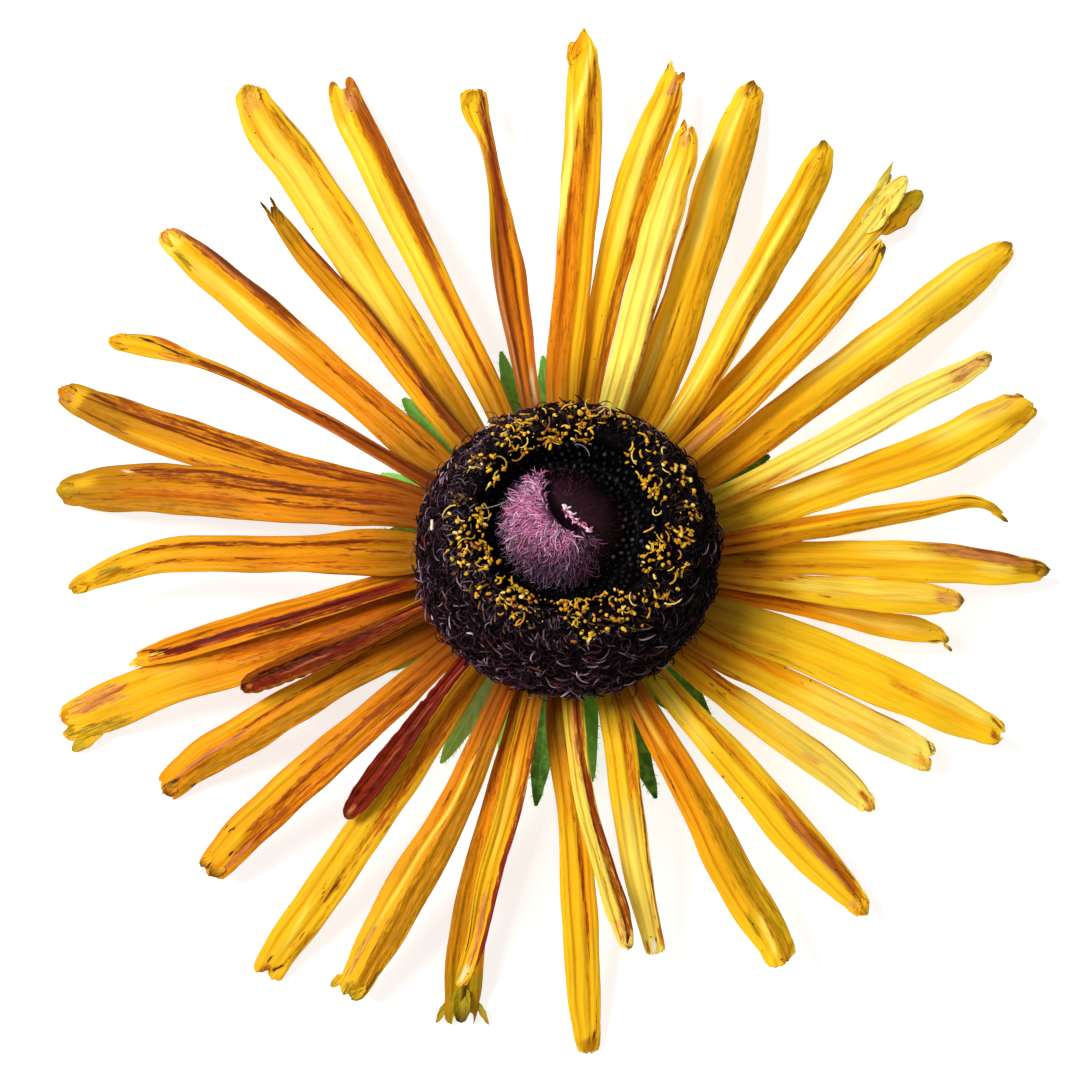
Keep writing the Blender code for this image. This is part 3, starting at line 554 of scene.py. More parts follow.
def grid_quads(rows: int, columns: int, close_columns: bool = False) -> Array:
    """Quads between the neighbours of a rows by columns grid of points, as (n, 4) indices."""
    across = columns if close_columns else columns - 1
    i = np.arange(rows - 1)[:, None] * columns
    j = np.arange(across)[None, :]
    k = (j + 1) % columns
    quads = np.stack([i + j, i + k, i + columns + k, i + columns + j], axis=-1)
    return quads.reshape(-1, 4)


def add_piece(name: str, points: Array, faces: list[Array], material: Material,
              replaced: str | None, values: dict[str, Array],
              uv: Array | None = None) -> None:
    """Adds one finished piece, riding on the flower's body.

    Args:
        name: the piece's name.
        points: (n, 3) points in millimetres about the flower's axis.
        faces: arrays of point indices, one array for each number of corners.
        material: its material.
        replaced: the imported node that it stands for.
        values: attributes by name: (n,) numbers, or (n, 4) linear colours with their cover.
        uv: (n, 2) surface coordinates in millimetres.
    """
    mesh = bpy.data.meshes.new(name)
    sizes = np.concatenate([np.full(len(part), part.shape[1], dtype=np.int32) for part in faces])
    corners = np.concatenate([part.reshape(-1) for part in faces]).astype(np.int32)
    starts = np.concatenate([[0], np.cumsum(sizes)[:-1]]).astype(np.int32)

    def write(target: object, field: str, data: Array) -> None:
        """Writes one value for each element of the mesh."""
        target.foreach_set(field, data.astype(np.float32).reshape(-1))

    mesh.vertices.add(len(points))
    write(mesh.vertices, "co", (points + np.array([*HEAD_AXIS, 0.0])) * MM)
    mesh.loops.add(len(corners))
    mesh.loops.foreach_set("vertex_index", corners)
    mesh.polygons.add(len(sizes))
    mesh.polygons.foreach_set("loop_start", starts)
    mesh.polygons.foreach_set("use_smooth", np.ones(len(sizes), dtype=bool))
    mesh.update(calc_edges=True)
    if uv is not None:
        write(mesh.uv_layers.new(name="blade").data, "uv", uv[corners] / UV_SPAN + 0.5)
    for key, data in values.items():
        kind, field = ("FLOAT", "value") if data.ndim == 1 else ("FLOAT_COLOR", "color")
        write(mesh.attributes.new(key, kind, "POINT").data, field, data)
    mesh.materials.append(material)
    mesh.validate()
    piece = bpy.data.objects.new(name, mesh)
    bpy.context.scene.collection.objects.link(piece)
    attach(piece, BODY)
    if replaced:
        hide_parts(replaced)
    LOG.info("%s: %d points, %d faces", name, len(points), len(sizes))


def lens_sheet(upper: Array, thickness: float) -> tuple[Array, Array, Array]:
    """Closes a grid into a thin sheet whose two faces meet at its rim, as a lens does.

    Formula: the lower face lies under the upper one along its normal, by the thickness times
    (1 - v^6)(1 - w^6), where v and w run from -1 to 1 across and along the grid.

    Args:
        upper: (along, across, 3) points of the upper face, its normals upwards.
        thickness: thickness in the middle.

    Returns:
        The points, the quads, and for each point the index of the grid point that it belongs to.
    """
    along, across = upper.shape[:2]
    v = np.linspace(-1.0, 1.0, across)[None, :]
    w = np.linspace(-1.0, 1.0, along)[:, None]
    depth = thickness * (1.0 - v**6) * (1.0 - w**6)
    normals = unit(np.cross(np.gradient(upper, axis=0), np.gradient(upper, axis=1)))
    lower = upper - normals * depth[..., None]
    count = along * across
    index = np.arange(count).reshape(along, across)
    under = index.copy()
    inner = (along - 2) * (across - 2)
    under[1:-1, 1:-1] = count + np.arange(inner).reshape(along - 2, across - 2)
    bottom = under.reshape(-1)[grid_quads(along, across)]
    top = grid_quads(along, across)[:, ::-1]
    points = np.concatenate([upper.reshape(-1, 3), lower[1:-1, 1:-1].reshape(-1, 3)])
    owner = np.concatenate([index.reshape(-1), index[1:-1, 1:-1].reshape(-1)])
    return points, np.concatenate([top, bottom]), owner


# Points, arrays of faces, and a linear colour for each point.
Mesh = tuple[Array, list[Array], Array]


@dataclass
class Strands:
    """Many small bent tubes, each along a circular arc that starts at a root and turns sideways.

    Formula: at share t of a strand of length L and total turn K, the centre is
    root + L (sin(Kt)/K aim + (1 - cos(Kt))/K side) + sway sin(2 pi t) across, and the ring about
    it has the radius times the profile at t.

    Args:
        root: (n, 3) starting points.
        aim: (n, 3) directions in which they start.
        side: (n, 3) directions towards which they bend.
        length: (n,) lengths.
        turn: (n,) total turns in radians.
        radius: (n,) radii.
        profile: relative radius of each ring.
        colour: (n, 3) linear colours.
        sway: (n,) sideways swing of the middle.
        sides: corners of a ring.
        rough: how much each point of a ring strays, as a share of the radius.
        tip_colour: (n, 3) linear colours at the tips.
    """

    root: Array
    aim: Array
    side: Array
    length: Array
    turn: Array
    radius: Array
    profile: tuple[float, ...]
    colour: Array
    sway: Array | None = None
    sides: int = 5
    rough: float = 0.0
    tip_colour: Array | None = None

    def mesh(self, rng: Generator) -> Mesh:
        """Works the tubes out.

        Args:
            rng: source of the draws for the roughness.

        Returns:
            The points, the quads and end caps, and the colour of each point.
        """
        count, rings = len(self.root), len(self.profile)
        t = np.linspace(0.0, 1.0, rings)[None, :]
        aim = unit(self.aim)
        side = unit(self.side - aim * np.sum(self.side * aim, axis=1, keepdims=True))
        across = np.cross(aim, side)
        turn = np.where(np.abs(self.turn) < 0.01, 0.01, self.turn)[:, None]
        length = self.length[:, None]
        forward = (length * np.sin(turn * t) / turn)[..., None]
        sideways = (length * (1.0 - np.cos(turn * t)) / turn)[..., None]
        centre = self.root[:, None] + forward * aim[:, None] + sideways * side[:, None]
        if self.sway is not None:
            swing = (self.sway[:, None] * np.sin(math.tau * t))[..., None]
            centre = centre + swing * across[:, None]
        inward = (-np.sin(turn * t)[..., None] * aim[:, None]
                  + np.cos(turn * t)[..., None] * side[:, None])
        phi = full_turn(self.sides)[:, None]
        ring = np.cos(phi) * inward[:, :, None] + np.sin(phi) * across[:, None, None]
        size = self.radius[:, None, None] * np.array(self.profile, dtype=float)[None, :, None]
        size = size * (1.0 + self.rough * rng.uniform(-1.0, 1.0, (count, rings, self.sides)))
        points = (centre[:, :, None] + ring * size[..., None]).reshape(-1, 3)
        one = grid_quads(rings, self.sides, close_columns=True)
        offset = (np.arange(count) * rings * self.sides)[:, None, None]
        quads = (one[None] + offset).reshape(-1, 4)
        rim = np.arange(self.sides)
        ends = np.stack([rim[::-1], (rings - 1) * self.sides + rim])
        caps = (ends[None] + offset).reshape(-1, self.sides)
        tip = self.colour if self.tip_colour is None else self.tip_colour
        blend = t[0][None, :, None]
        colours = self.colour[:, None] * (1.0 - blend) + tip[:, None] * blend
        colours = np.repeat(colours[:, :, None], self.sides, axis=2).reshape(-1, 3)
        return points, [quads, caps], colours


def opaque(colours: Array) -> Array:
    """Linear colours with full cover."""
    return np.concatenate([colours, np.ones(colours.shape[:-1] + (1,))], axis=-1)


def add_tissue(name: str, parts: list[Mesh], material: Material,
               replaced: str | None = None) -> None:
    """Adds one piece that is put together from several meshes, none of it under the floor.

    Args:
        name: the piece's name.
        parts: points, faces and point colours of each mesh.
        material: its material.
        replaced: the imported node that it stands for.
    """
    starts = np.cumsum([0] + [len(points) for points, _, _ in parts])
    faces = [face + start for part, start in zip(parts, starts) for face in part[1]]
    points = np.concatenate([part[0] for part in parts])
    points[:, 2] = np.maximum(points[:, 2], 0.0)
    tint = opaque(np.clip(np.concatenate([part[2] for part in parts]), 0.0, 1.0))
    add_piece(name, points, faces, material, replaced, {"tint": tint})


def end_fans(rows: int, columns: int) -> list[Array]:
    """Closes both ends of a tube.

    Args:
        rows: rings of the tube.
        columns: points of a ring.

    Returns:
        Triangles from the first and the last ring to the two points that follow the rings.
    """
    rim = np.arange(columns)
    following = (rim + 1) % columns
    last = (rows - 1) * columns
    hub = np.full(columns, rows * columns)
    return [np.stack([hub, following, rim], axis=1),
            np.stack([hub + 1, last + rim, last + following], axis=1)]


# ---------------------------------------------------------------- shared shader effects

def feed(tree: NodeTree, socket: NodeSocket, value: object) -> None:
    """Gives an input a plain value, or links another node's output to it."""
    if isinstance(value, NodeSocket):
        tree.links.new(value, socket)
    else:
        socket.default_value = value


def node(tree: NodeTree, kind: str, **settings: object) -> Node:
    """Adds a node.

    Args:
        tree: the tree that it belongs to.
        kind: its type.
        settings: its properties, and its inputs where a name starts with a capital.

    Returns:
        The node.
    """
    made = tree.nodes.new(kind)
    for key, value in settings.items():
        if key[0].isupper():
            feed(tree, made.inputs[key.replace("_", " ")], value)
        else:
            setattr(made, key, value)
    return made


def math_node(tree: NodeTree, operation: str, *terms: object) -> NodeSocket:
    """Adds a Math node of plain numbers and sockets, and returns its result."""
    made = node(tree, "ShaderNodeMath", operation=operation)
    for slot, term in zip(made.inputs, terms):
        feed(tree, slot, term)
    return made.outputs[0]


def mix_node(tree: NodeTree, share: NodeSocket, first: object,
             second: object) -> NodeSocket:
    """Adds a Mix node for two colours, and returns its result."""
    made = node(tree, "ShaderNodeMix", data_type="RGBA")
    for slot, value in ((0, share), (6, first), (7, second)):
        feed(tree, made.inputs[slot], value)
    return made.outputs[2]


def new_group(name: str, inputs: dict[str, object], outputs: tuple[str, ...]) -> tuple:
    """Starts a shader node group.

    Args:
        name: the group's name.
        inputs: default of each input: a number, a colour, or None for a vector.
        outputs: name of each output; Colour is a colour and any other one a number.

    Returns:
        The tree, its inputs' values and the sockets that give its results.
    """
    tree = bpy.data.node_groups.new(name, "ShaderNodeTree")
    kinds = {tuple: "NodeSocketColor", float: "NodeSocketFloat", type(None): "NodeSocketVector"}
    for label, default in inputs.items():
        socket = tree.interface.new_socket(label, in_out="INPUT", socket_type=kinds[type(default)])
        if default is not None:
            socket.default_value = default
    for label in outputs:
        kind = kinds[tuple if label == "Colour" else float]
        tree.interface.new_socket(label, in_out="OUTPUT", socket_type=kind)
    return tree, tree.nodes.new("NodeGroupInput").outputs, tree.nodes.new("NodeGroupOutput").inputs


class Effects:
    """Shader node groups that more than one material uses, each built once."""

    WHITE, DARKEST = (1.0, 1.0, 1.0, 1.0), (0.0, 0.0, 0.0, 1.0)

    def __init__(self) -> None:
        """Builds the groups."""
        self.fibres = self._fibres()
        self.mottle = self._mottle()
        self.specks = self._specks()

    def _fibres(self) -> NodeTree:
        """Long fine streaks along u: noise stretched along the blade, in two sizes.

        Returns:
            The group.
        """
        tree, given, out = new_group(
            "blade fibres", {"Colour": self.WHITE, "Vector": None, "Per mm across": 5.0,
                             "Per mm along": 0.3, "Contrast": 0.3}, ("Colour", "Height"))
        parts = node(tree, "ShaderNodeSeparateXYZ", Vector=given["Vector"])
        heights = []
        for finer in (1.0, 3.1):
            where = node(tree, "ShaderNodeCombineXYZ")
            for axis, rate in enumerate(("Per mm along", "Per mm across")):
                place = math_node(tree, "MULTIPLY", parts.outputs[axis], given[rate])
                feed(tree, where.inputs[axis], math_node(tree, "MULTIPLY", place, UV_SPAN * finer))
            noise = node(tree, "ShaderNodeTexNoise", Scale=1.0, Detail=3.0, Roughness=0.6,
                         Vector=where.outputs[0])
            heights.append(noise.outputs["Fac"])
        both = math_node(tree, "MULTIPLY_ADD", heights[1], 0.45,
                         math_node(tree, "MULTIPLY", heights[0], 0.55))
        swing = math_node(tree, "MULTIPLY", math_node(tree, "SUBTRACT", both, 0.5),
                          given["Contrast"])
        scaled = node(tree, "ShaderNodeVectorMath", operation="SCALE",
                      Scale=math_node(tree, "MULTIPLY_ADD", swing, 4.0, 1.0))
        feed(tree, scaled.inputs[0], given["Colour"])
        feed(tree, out["Colour"], scaled.outputs[0])
        feed(tree, out["Height"], both)
        return tree

    def _mottle(self) -> NodeTree:
        """Soft patches of a second colour, and a height, from noise in millimetres.

        Returns:
            The group.
        """
        tree, given, out = new_group(
            "tissue mottle", {"Colour": self.WHITE, "Patch": self.DARKEST, "Per mm": 1.0,
                              "Amount": 0.3}, ("Colour", "Height"))
        noise = node(tree, "ShaderNodeTexNoise", Detail=4.0, Roughness=0.6,
                     Vector=node(tree, "ShaderNodeTexCoord").outputs["Object"],
                     Scale=math_node(tree, "MULTIPLY", given["Per mm"], 1.0 / MM))
        steep = node(tree, "ShaderNodeMapRange", interpolation_type="SMOOTHSTEP",
                     From_Min=0.42, From_Max=0.66, Value=noise.outputs["Fac"])
        share = math_node(tree, "MULTIPLY", steep.outputs[0], given["Amount"])
        feed(tree, out["Colour"], mix_node(tree, share, given["Colour"], given["Patch"]))
        feed(tree, out["Height"], noise.outputs["Fac"])
        return tree

    def _specks(self) -> NodeTree:
        """Small dark specks, scattered where a wear value is high.

        Returns:
            The group.
        """
        tree, given, out = new_group(
            "withered specks", {"Colour": self.WHITE, "Speck": self.DARKEST, "Vector": None,
                                "Per mm": 2.0, "Wear": 0.0}, ("Colour", "Mask"))
        where = node(tree, "ShaderNodeVectorMath", operation="SCALE",
                     Scale=math_node(tree, "MULTIPLY", given["Per mm"], UV_SPAN))
        feed(tree, where.inputs[0], given["Vector"])
        cells = node(tree, "ShaderNodeTexVoronoi", Scale=1.0, Vector=where.outputs[0])
        pick = node(tree, "ShaderNodeSeparateColor", Color=cells.outputs["Color"])
        chosen = math_node(tree, "LESS_THAN", pick.outputs[0], given["Wear"])
        radius = math_node(tree, "MULTIPLY_ADD", pick.outputs[1], 0.22, 0.08)
        inside = math_node(tree, "LESS_THAN", cells.outputs["Distance"], radius)
        mask = math_node(tree, "MULTIPLY", math_node(tree, "MULTIPLY", chosen, inside), 0.8)
        feed(tree, out["Colour"], mix_node(tree, mask, given["Colour"], given["Speck"]))
        feed(tree, out["Mask"], mask)
        return tree


def new_material(name: str) -> tuple[Material, NodeTree, Node]:
    """A new material with its node tree and Principled shader."""
    made = bpy.data.materials.new(name)
    made.use_nodes = True
    return made, made.node_tree, made.node_tree.nodes["Principled BSDF"]


def bump_from(tree: NodeTree, shader: Node, height: NodeSocket,
              depth_mm: float, strength: float) -> None:
    """Feeds a height through a Bump node into the shader's normal."""
    bump = node(tree, "ShaderNodeBump", Strength=strength, Distance=depth_mm * MM, Height=height)
    feed(tree, shader.inputs["Normal"], bump.outputs["Normal"])


@dataclass(frozen=True)
class BladeFinish:
    """Satin petal tissue with long fibres and, where it withers, specks.

    Args:
        roughness: how matt it is between its fibres.
        roughness_swing: how far the roughness strays with the fibres.
        contrast: contrast of the fibres.
        fibre_depth: depth of the fibres, in millimetres.
        mark_contrast: contrast of the fibres in a mark.
        raggedness: how much a mark breaks up along the fibres.
        softness: how soft the edges of a broken mark are.
        cover_level: cover at which a mark shows on a fibre of middle height.
        mark_rates: fibres for each millimetre across and along, in the marks.
        fibre_rates: fibres for each millimetre across and along, over the whole blade.
        speck_rate: specks for each millimetre.
        specular: strength of the shine.
    """

    roughness: float = 0.46
    roughness_swing: float = 0.25
    contrast: float = 0.20
    fibre_depth: float = 0.06
    mark_contrast: float = 0.65
    raggedness: float = 3.2
    softness: float = 0.36
    cover_level: float = 0.34
    mark_rates: tuple[float, float] = (5.0, 0.5)
    fibre_rates: tuple[float, float] = (4.5, 0.22)
    speck_rate: float = 3.6
    specular: float = 0.08

    def material(self, effects: Effects) -> Material:
        """Builds the material."""
        made, tree, shader = new_material("ray_floret_tissue")
        tint, stain, wear = (node(tree, "ShaderNodeAttribute", attribute_name=name)
                             for name in ("tint", "stain", "wear"))
        uv = node(tree, "ShaderNodeUVMap", uv_map="blade").outputs[0]
        # A mark shows on the fibres whose own level is under its cover, so it breaks up along them.
        breaks = node(tree, "ShaderNodeGroup", node_tree=effects.fibres, Vector=uv,
                      Colour=stain.outputs["Color"], Per_mm_across=self.mark_rates[0],
                      Per_mm_along=self.mark_rates[1], Contrast=self.mark_contrast)
        level = math_node(tree, "MULTIPLY_ADD", breaks.outputs["Height"], self.raggedness,
                          self.cover_level - 0.5 * self.raggedness)
        level.node.use_clamp = True
        shown = node(tree, "ShaderNodeMapRange", interpolation_type="SMOOTHSTEP",
                     Value=stain.outputs["Alpha"], From_Min=level,
                     From_Max=math_node(tree, "ADD", level, self.softness))
        mixed = mix_node(tree, shown.outputs[0], tint.outputs["Color"], breaks.outputs["Colour"])
        fibres = node(tree, "ShaderNodeGroup", node_tree=effects.fibres, Vector=uv, Colour=mixed,
                      Per_mm_across=self.fibre_rates[0], Per_mm_along=self.fibre_rates[1],
                      Contrast=self.contrast)
        specks = node(tree, "ShaderNodeGroup", node_tree=effects.specks, Vector=uv,
                      Colour=fibres.outputs["Colour"], Speck=Tone.DARK.rgba,
                      Per_mm=self.speck_rate, Wear=wear.outputs["Fac"])
        feed(tree, shader.inputs["Base Color"], specks.outputs["Colour"])
        rough = math_node(tree, "MULTIPLY_ADD", fibres.outputs["Height"], self.roughness_swing,
                          self.roughness - self.roughness_swing / 2.0)
        feed(tree, shader.inputs["Roughness"], rough)
        bump_from(tree, shader, fibres.outputs["Height"], self.fibre_depth, 0.7)
        shader.inputs["Specular IOR Level"].default_value = self.specular
        return made


@dataclass(frozen=True)
class TissueFinish:
    """Tissue coloured by its own tint, with soft patches of a second tone and fine relief.

    Args:
        name: the material's name.
        patch: tone of the patches.
        amount: strength of the patches.
        per_mm: patches for each millimetre.
        roughness: how matt it is.
        depth: depth of the relief, in millimetres.
        specular: strength of the shine.
        roughness_swing: how far the roughness strays with the patches.
    """

    name: str
    patch: Tone
    amount: float
    per_mm: float
    roughness: float
    depth: float = 0.02
    specular: float = 0.4
    roughness_swing: float = 0.3

    def material(self, effects: Effects) -> Material:
        """Builds the material."""
        made, tree, shader = new_material(self.name)
        tint = node(tree, "ShaderNodeAttribute", attribute_name="tint")
        mottle = node(tree, "ShaderNodeGroup", node_tree=effects.mottle,
                      Colour=tint.outputs["Color"], Patch=self.patch.rgba, Per_mm=self.per_mm,
                      Amount=self.amount)
        feed(tree, shader.inputs["Base Color"], mottle.outputs["Colour"])
        rough = math_node(tree, "MULTIPLY_ADD", mottle.outputs["Height"], self.roughness_swing,
                          self.roughness - self.roughness_swing / 2.0)
        feed(tree, shader.inputs["Roughness"], rough)
        bump_from(tree, shader, mottle.outputs["Height"], self.depth, 0.6)
        shader.inputs["Specular IOR Level"].default_value = self.specular
        return made


# ---------------------------------------------------------------- ray florets

@dataclass(frozen=True)
class Flap:
    """One lobe, spur or bead at the tip of a ray floret.

    Args:
        ray: number of the ray floret.
        start: its root, in the blade's u and v.
        finish: its end, in the blade's u and v.
        half: half its width.
        tone: letters of its root's and its end's tone.
        point: how sharply it ends.
        lift: height of its end over the blade.
        cup: how far its edges turn up.
    """

    ray: str
    start: tuple[float, float]
    finish: tuple[float, float]
    half: float
    tone: str
    point: float
    lift: float
    cup: float

    @classmethod
    def read(cls, notes: str) -> Flap:
        """Reads a flap from its ray's number, its tones and its eight sizes in hundredths."""
        ray, tone, *sizes = notes.split()
        size = [float(value) / 100.0 for value in sizes]
        return cls(ray, (size[0], size[1]), (size[2], size[3]), size[4], tone, *size[5:])


FLAPS = tuple(Flap.read(notes) for notes in """
    01 .. 87 30 96.5 70 62 50 8 20; 02 .P 95 40 102 35 28 100 0 20;
    02 .R 95 -40 100 -65 30 60 10 20; 03 .O 94 20 102 25 28 80 10 20;
    03 .R 94 -40 100 -40 26 60 10 20; 04 .D 94 0 99.5 0 45 50 15 20;
    05 .D 95 0 99.5 10 34 60 10 20; 06 CG 85 -90 102 -150 85 40 -10 20;
    06 PG 88 60 102 95 32 100 10 20; 06 PP 82 -10 102 -20 85 50 5 20;
    07 .K 93 -30 99.5 -30 45 60 10 20; 08 .B 95 0 99.5 10 47 50 10 20;
    09 .D 95 -10 99.5 -20 40 50 10 20; 10 .R 95 35 99.5 30 47 50 15 20;
    10 .C 93 -50 99.5 -60 50 60 0 20; 11 .D 95 -40 101 -140 20 80 0 20;
    12 .K 95 0 99.5 -10 47 50 10 20; 13 .K 95 0 99.5 0 50 50 10 20;
    14 .D 95 10 100 -40 36 50 10 20; 14 .K 98.5 -60 102 -110 10 100 0 20;
    15 .D 95 50 99.5 50 36 60 10 20; 15 .R 95 -35 99.5 -40 56 50 10 20;
    16 .K 95 50 99.5 60 34 80 10 20; 16 .C 95 -40 99.5 -50 56 50 10 20;
    17 .C 95 10 99.5 -30 38 60 10 20; 18 .C 95 0 99.5 0 56 50 10 20;
    21 .D 95 0 99.5 30 36 70 10 20; 22 .C 95 30 99.5 40 50 60 10 20;
    23 GC 93 90 99 170 22 100 30 20; 23 GC 94 -80 100.5 -135 25 90 10 20;
    23 GD 90 0 100 10 62 40 50 60; 25 .G 95 -80 99.5 -125 34 70 10 20;
    25 .G 94 20 99.5 30 62 50 10 20; 26 .C 94 35 99.5 35 50 50 10 20;
    26 .G 95 -60 99.5 -70 34 70 10 20; 27 .B 95 10 99.5 30 31 60 10 20;
    28 .D 94 20 99.5 30 56 50 15 20; 28 .B 95 -50 99.5 -50 36 60 10 20;
    29 .D 95 20 99.5 20 45 50 10 20; 30 .K 95 0 99.5 20 38 50 10 20;
    31 .G 90 75 99 115 56 50 -10 20; 31 .O 94 -30 99.5 -20 67 50 10 20;
    32 .P 93 20 102 30 36 60 10 20; 33 .G 95 20 99.5 30 45 50 0 20;
    34 .G 95 10 99.5 0 56 50 0 20; 35 .O 95 0 99.5 0 56 50 10 20;
    36 .A 94 10 99.5 0 56 50 10 20; 37 .S 95 0 99.5 10 62 50 10 20;
    38 .K 95 60 101.5 110 7 120 20 20; 38 .K 95 -60 101.5 -90 8 120 20 20;
    38 .D 93 0 98.5 0 30 60 10 20; 39 .C 95 0 99.5 0 67 50 10 20;
    40 .R 94 50 101 50 42 50 10 20; 40 .O 94 -50 101 -50 45 50 10 20;
    41 .C 94 0 99.5 0 62 50 10 20
""".split(";"))


# Shares of red, green and blue that painted shade takes from a blade's colour in its grooves, along
# its edges and near its root, where the disc's shadow is painted; the share lost where it has
# dried; and the light that is left on its darker fibres and in a flap's marks.
GROOVE_SHADE, EDGE_SHADE = np.array([0.03, 0.10, 0.28]), np.array([0.04, 0.12, 0.28])
ROOT_SHADOW, DRY_LOSS = np.array([0.52, 0.48, 0.52]), np.array([0.16, 0.22, 0.42])
DRY_MARK_LOSS = 0.3 * np.array([0.4, 0.8, 1.0])
FIBRE_LIGHT, FLAP_MARK_LIGHT = np.array([0.60, 0.34, 0.22]), np.array([0.5, 0.3, 0.2])
# Tones that lie evenly on a blade, among them the pale and cream of the painted highlights and
# glints; every other tone breaks up along the fibres.
EVEN_TONES = "PYAW"


@dataclass
class RayFlorets:
    """The ray florets: long, drooping, partly withered yellow blades in three whorls.

    Args:
        rays: every ray floret.
        flaps: the lobes and spurs at their tips.
        finish: the blades' finish.
        root_radius: distance from the axis of the blades' hidden roots.
        root_width: width of a root.
        root_spread: how much wider a blade is at its first station.
        rise: how much a blade bows upwards before it droops.
        droop_power: how late along the blade the droop sets in.
        ledge: depth kept free under the lowest whorl's tips.
        thickness: thickness of a blade.
        groove_depth: depth of the two lengthwise grooves.
        groove_at: v of a groove.
        groove_width: half width of a groove, in v.
        pleat_depth: depth of the fine pleats between them.
        crush_depth: depth of the creases of a shrivelled blade.
        shrivelled: arch under which a blade is shrivelled.
        dry_side: bearing, in degrees, of the side where the blades have dried most.
        along: grid rows from root to tip.
        across: grid columns across a blade.
        tuck: depth in the blade of a flap's root.
        flap_thickness: thickness of a flap.
        flap_grid: grid rows and columns of a flap.
        clearance: least height of a blade's underside over the floor.
        least_height: least height of a blade's upper face.
        under_shade: share of the upper face's linear colour that the underside has.
        strip_pitch: room that each blade has across the surface coordinates.
        seed: seed of the first blade's random draws.
    """

    rays: tuple[Ray, ...] = RAYS
    flaps: tuple[Flap, ...] = FLAPS
    finish: BladeFinish = BladeFinish()
    root_radius: float = 8.05
    root_width: float = 1.5
    root_spread: float = 1.25
    rise: float = 0.9
    droop_power: float = 1.7
    ledge: float = 0.45
    thickness: float = 0.26
    groove_depth: float = 0.22
    groove_at: float = 0.36
    groove_width: float = 0.13
    pleat_depth: float = 0.035
    crush_depth: float = 0.09
    shrivelled: float = -0.7
    dry_side: float = 205.0
    along: int = 124
    across: int = 29
    tuck: float = 0.16
    flap_thickness: float = 0.10
    flap_grid: tuple[int, int] = (26, 11)
    clearance: float = 0.02
    least_height: float = 0.3
    under_shade: tuple[float, float, float] = (0.82, 0.86, 0.75)
    strip_pitch: float = 1.1
    seed: int = 4100

    def build(self, effects: Effects) -> None:
        """Builds every ray floret.

        Args:
            effects: the shared shader effects.
        """
        material = self.finish.material(effects)
        for order, ray in enumerate(self.rays):
            rng = np.random.default_rng(self.seed + order)
            grid, u, v, spread, length = self._blade(ray, rng)
            points, quads, owner = lens_sheet(grid, self.thickness)
            points[:, 2] = np.maximum(points[:, 2], self.clearance)
            tint, stain, wear = self._tint(ray, u, v, rng)
            under = (np.arange(len(owner)) >= self.along * self.across)[:, None]
            colours = tint.reshape(-1, 3)[owner]
            colours = np.where(under, colours * np.array(self.under_shade), colours)
            strip = (order - (len(self.rays) - 1) / 2.0) * self.strip_pitch
            uv = np.stack([u * length - length / 2.0, spread + strip], axis=-1).reshape(-1, 2)
            parts = [(points, quads, uv[owner], colours, stain.reshape(-1, 4)[owner],
                      wear.reshape(-1)[owner])]
            parts += [self._flap(flap, grid, u, tint, length, strip, rng) for flap in self.flaps
                      if flap.ray == ray.name]
            starts = np.cumsum([0] + [len(part[0]) for part in parts])
            faces = [part[1] + start for part, start in zip(parts, starts)]
            points, uv, colours, marks, worn = (
                np.concatenate([part[k] for part in parts]) for k in (0, 2, 3, 4, 5))
            values = {"tint": opaque(colours), "stain": marks, "wear": worn}
            add_piece("ray_floret_" + ray.name, points, faces, material,
                      "ray_" + ray.name, values, uv)

    def _flap(self, flap: Flap, grid: Array, u: Array, tint: Array, length: float, strip: float,
              rng: Generator) -> tuple[Array, Array, Array, Array, Array, Array]:
        """A lobe, spur or bead at a torn tip.

        Formula: its centre line runs straight between two places in the blade's u and v, bowed by
        lift t^2; its half width grows as a quarter circle and ends as (1 - s^2)^point.

        Args:
            flap: the flap.
            grid: the blade's upper face.
            u: the grid's u.
            tint: the grid's colours.
            length: the blade's length.
            strip: place of the blade's own strip in the surface coordinates.
            rng: source of the draws.

        Returns:
            Points, quads, surface coordinates, colours, marks and wear.
        """
        rows, columns = self.flap_grid
        t = np.linspace(0.0, 1.0, rows)
        along_u = flap.start[0] + (flap.finish[0] - flap.start[0]) * t
        aside = (flap.finish[1] - flap.start[1]) * t
        middle = (self.across - 1) / 2.0
        column = int(np.clip(round((flap.start[1] + 1.0) * middle), 2, self.across - 3))
        line, path = u[:, self.across // 2], grid[:, self.across // 2]
        base = int(np.searchsorted(line, min(flap.start[0], 0.93)))
        side = (grid[base, -1] - grid[base, 0]) / 2.0
        ahead = unit(path[-1] - path[-9])
        beyond = np.clip(along_u - line[-1], 0.0, None)[:, None] * length * ahead
        place = np.stack([np.interp(along_u, line, path[:, k]) for k in range(3)], axis=-1)
        centre = place + beyond + (flap.start[1] + aside)[:, None] * side
        centre[:, 2] += grid[base, column, 2] - path[base, 2] - (column / middle - 1.0) * side[2]
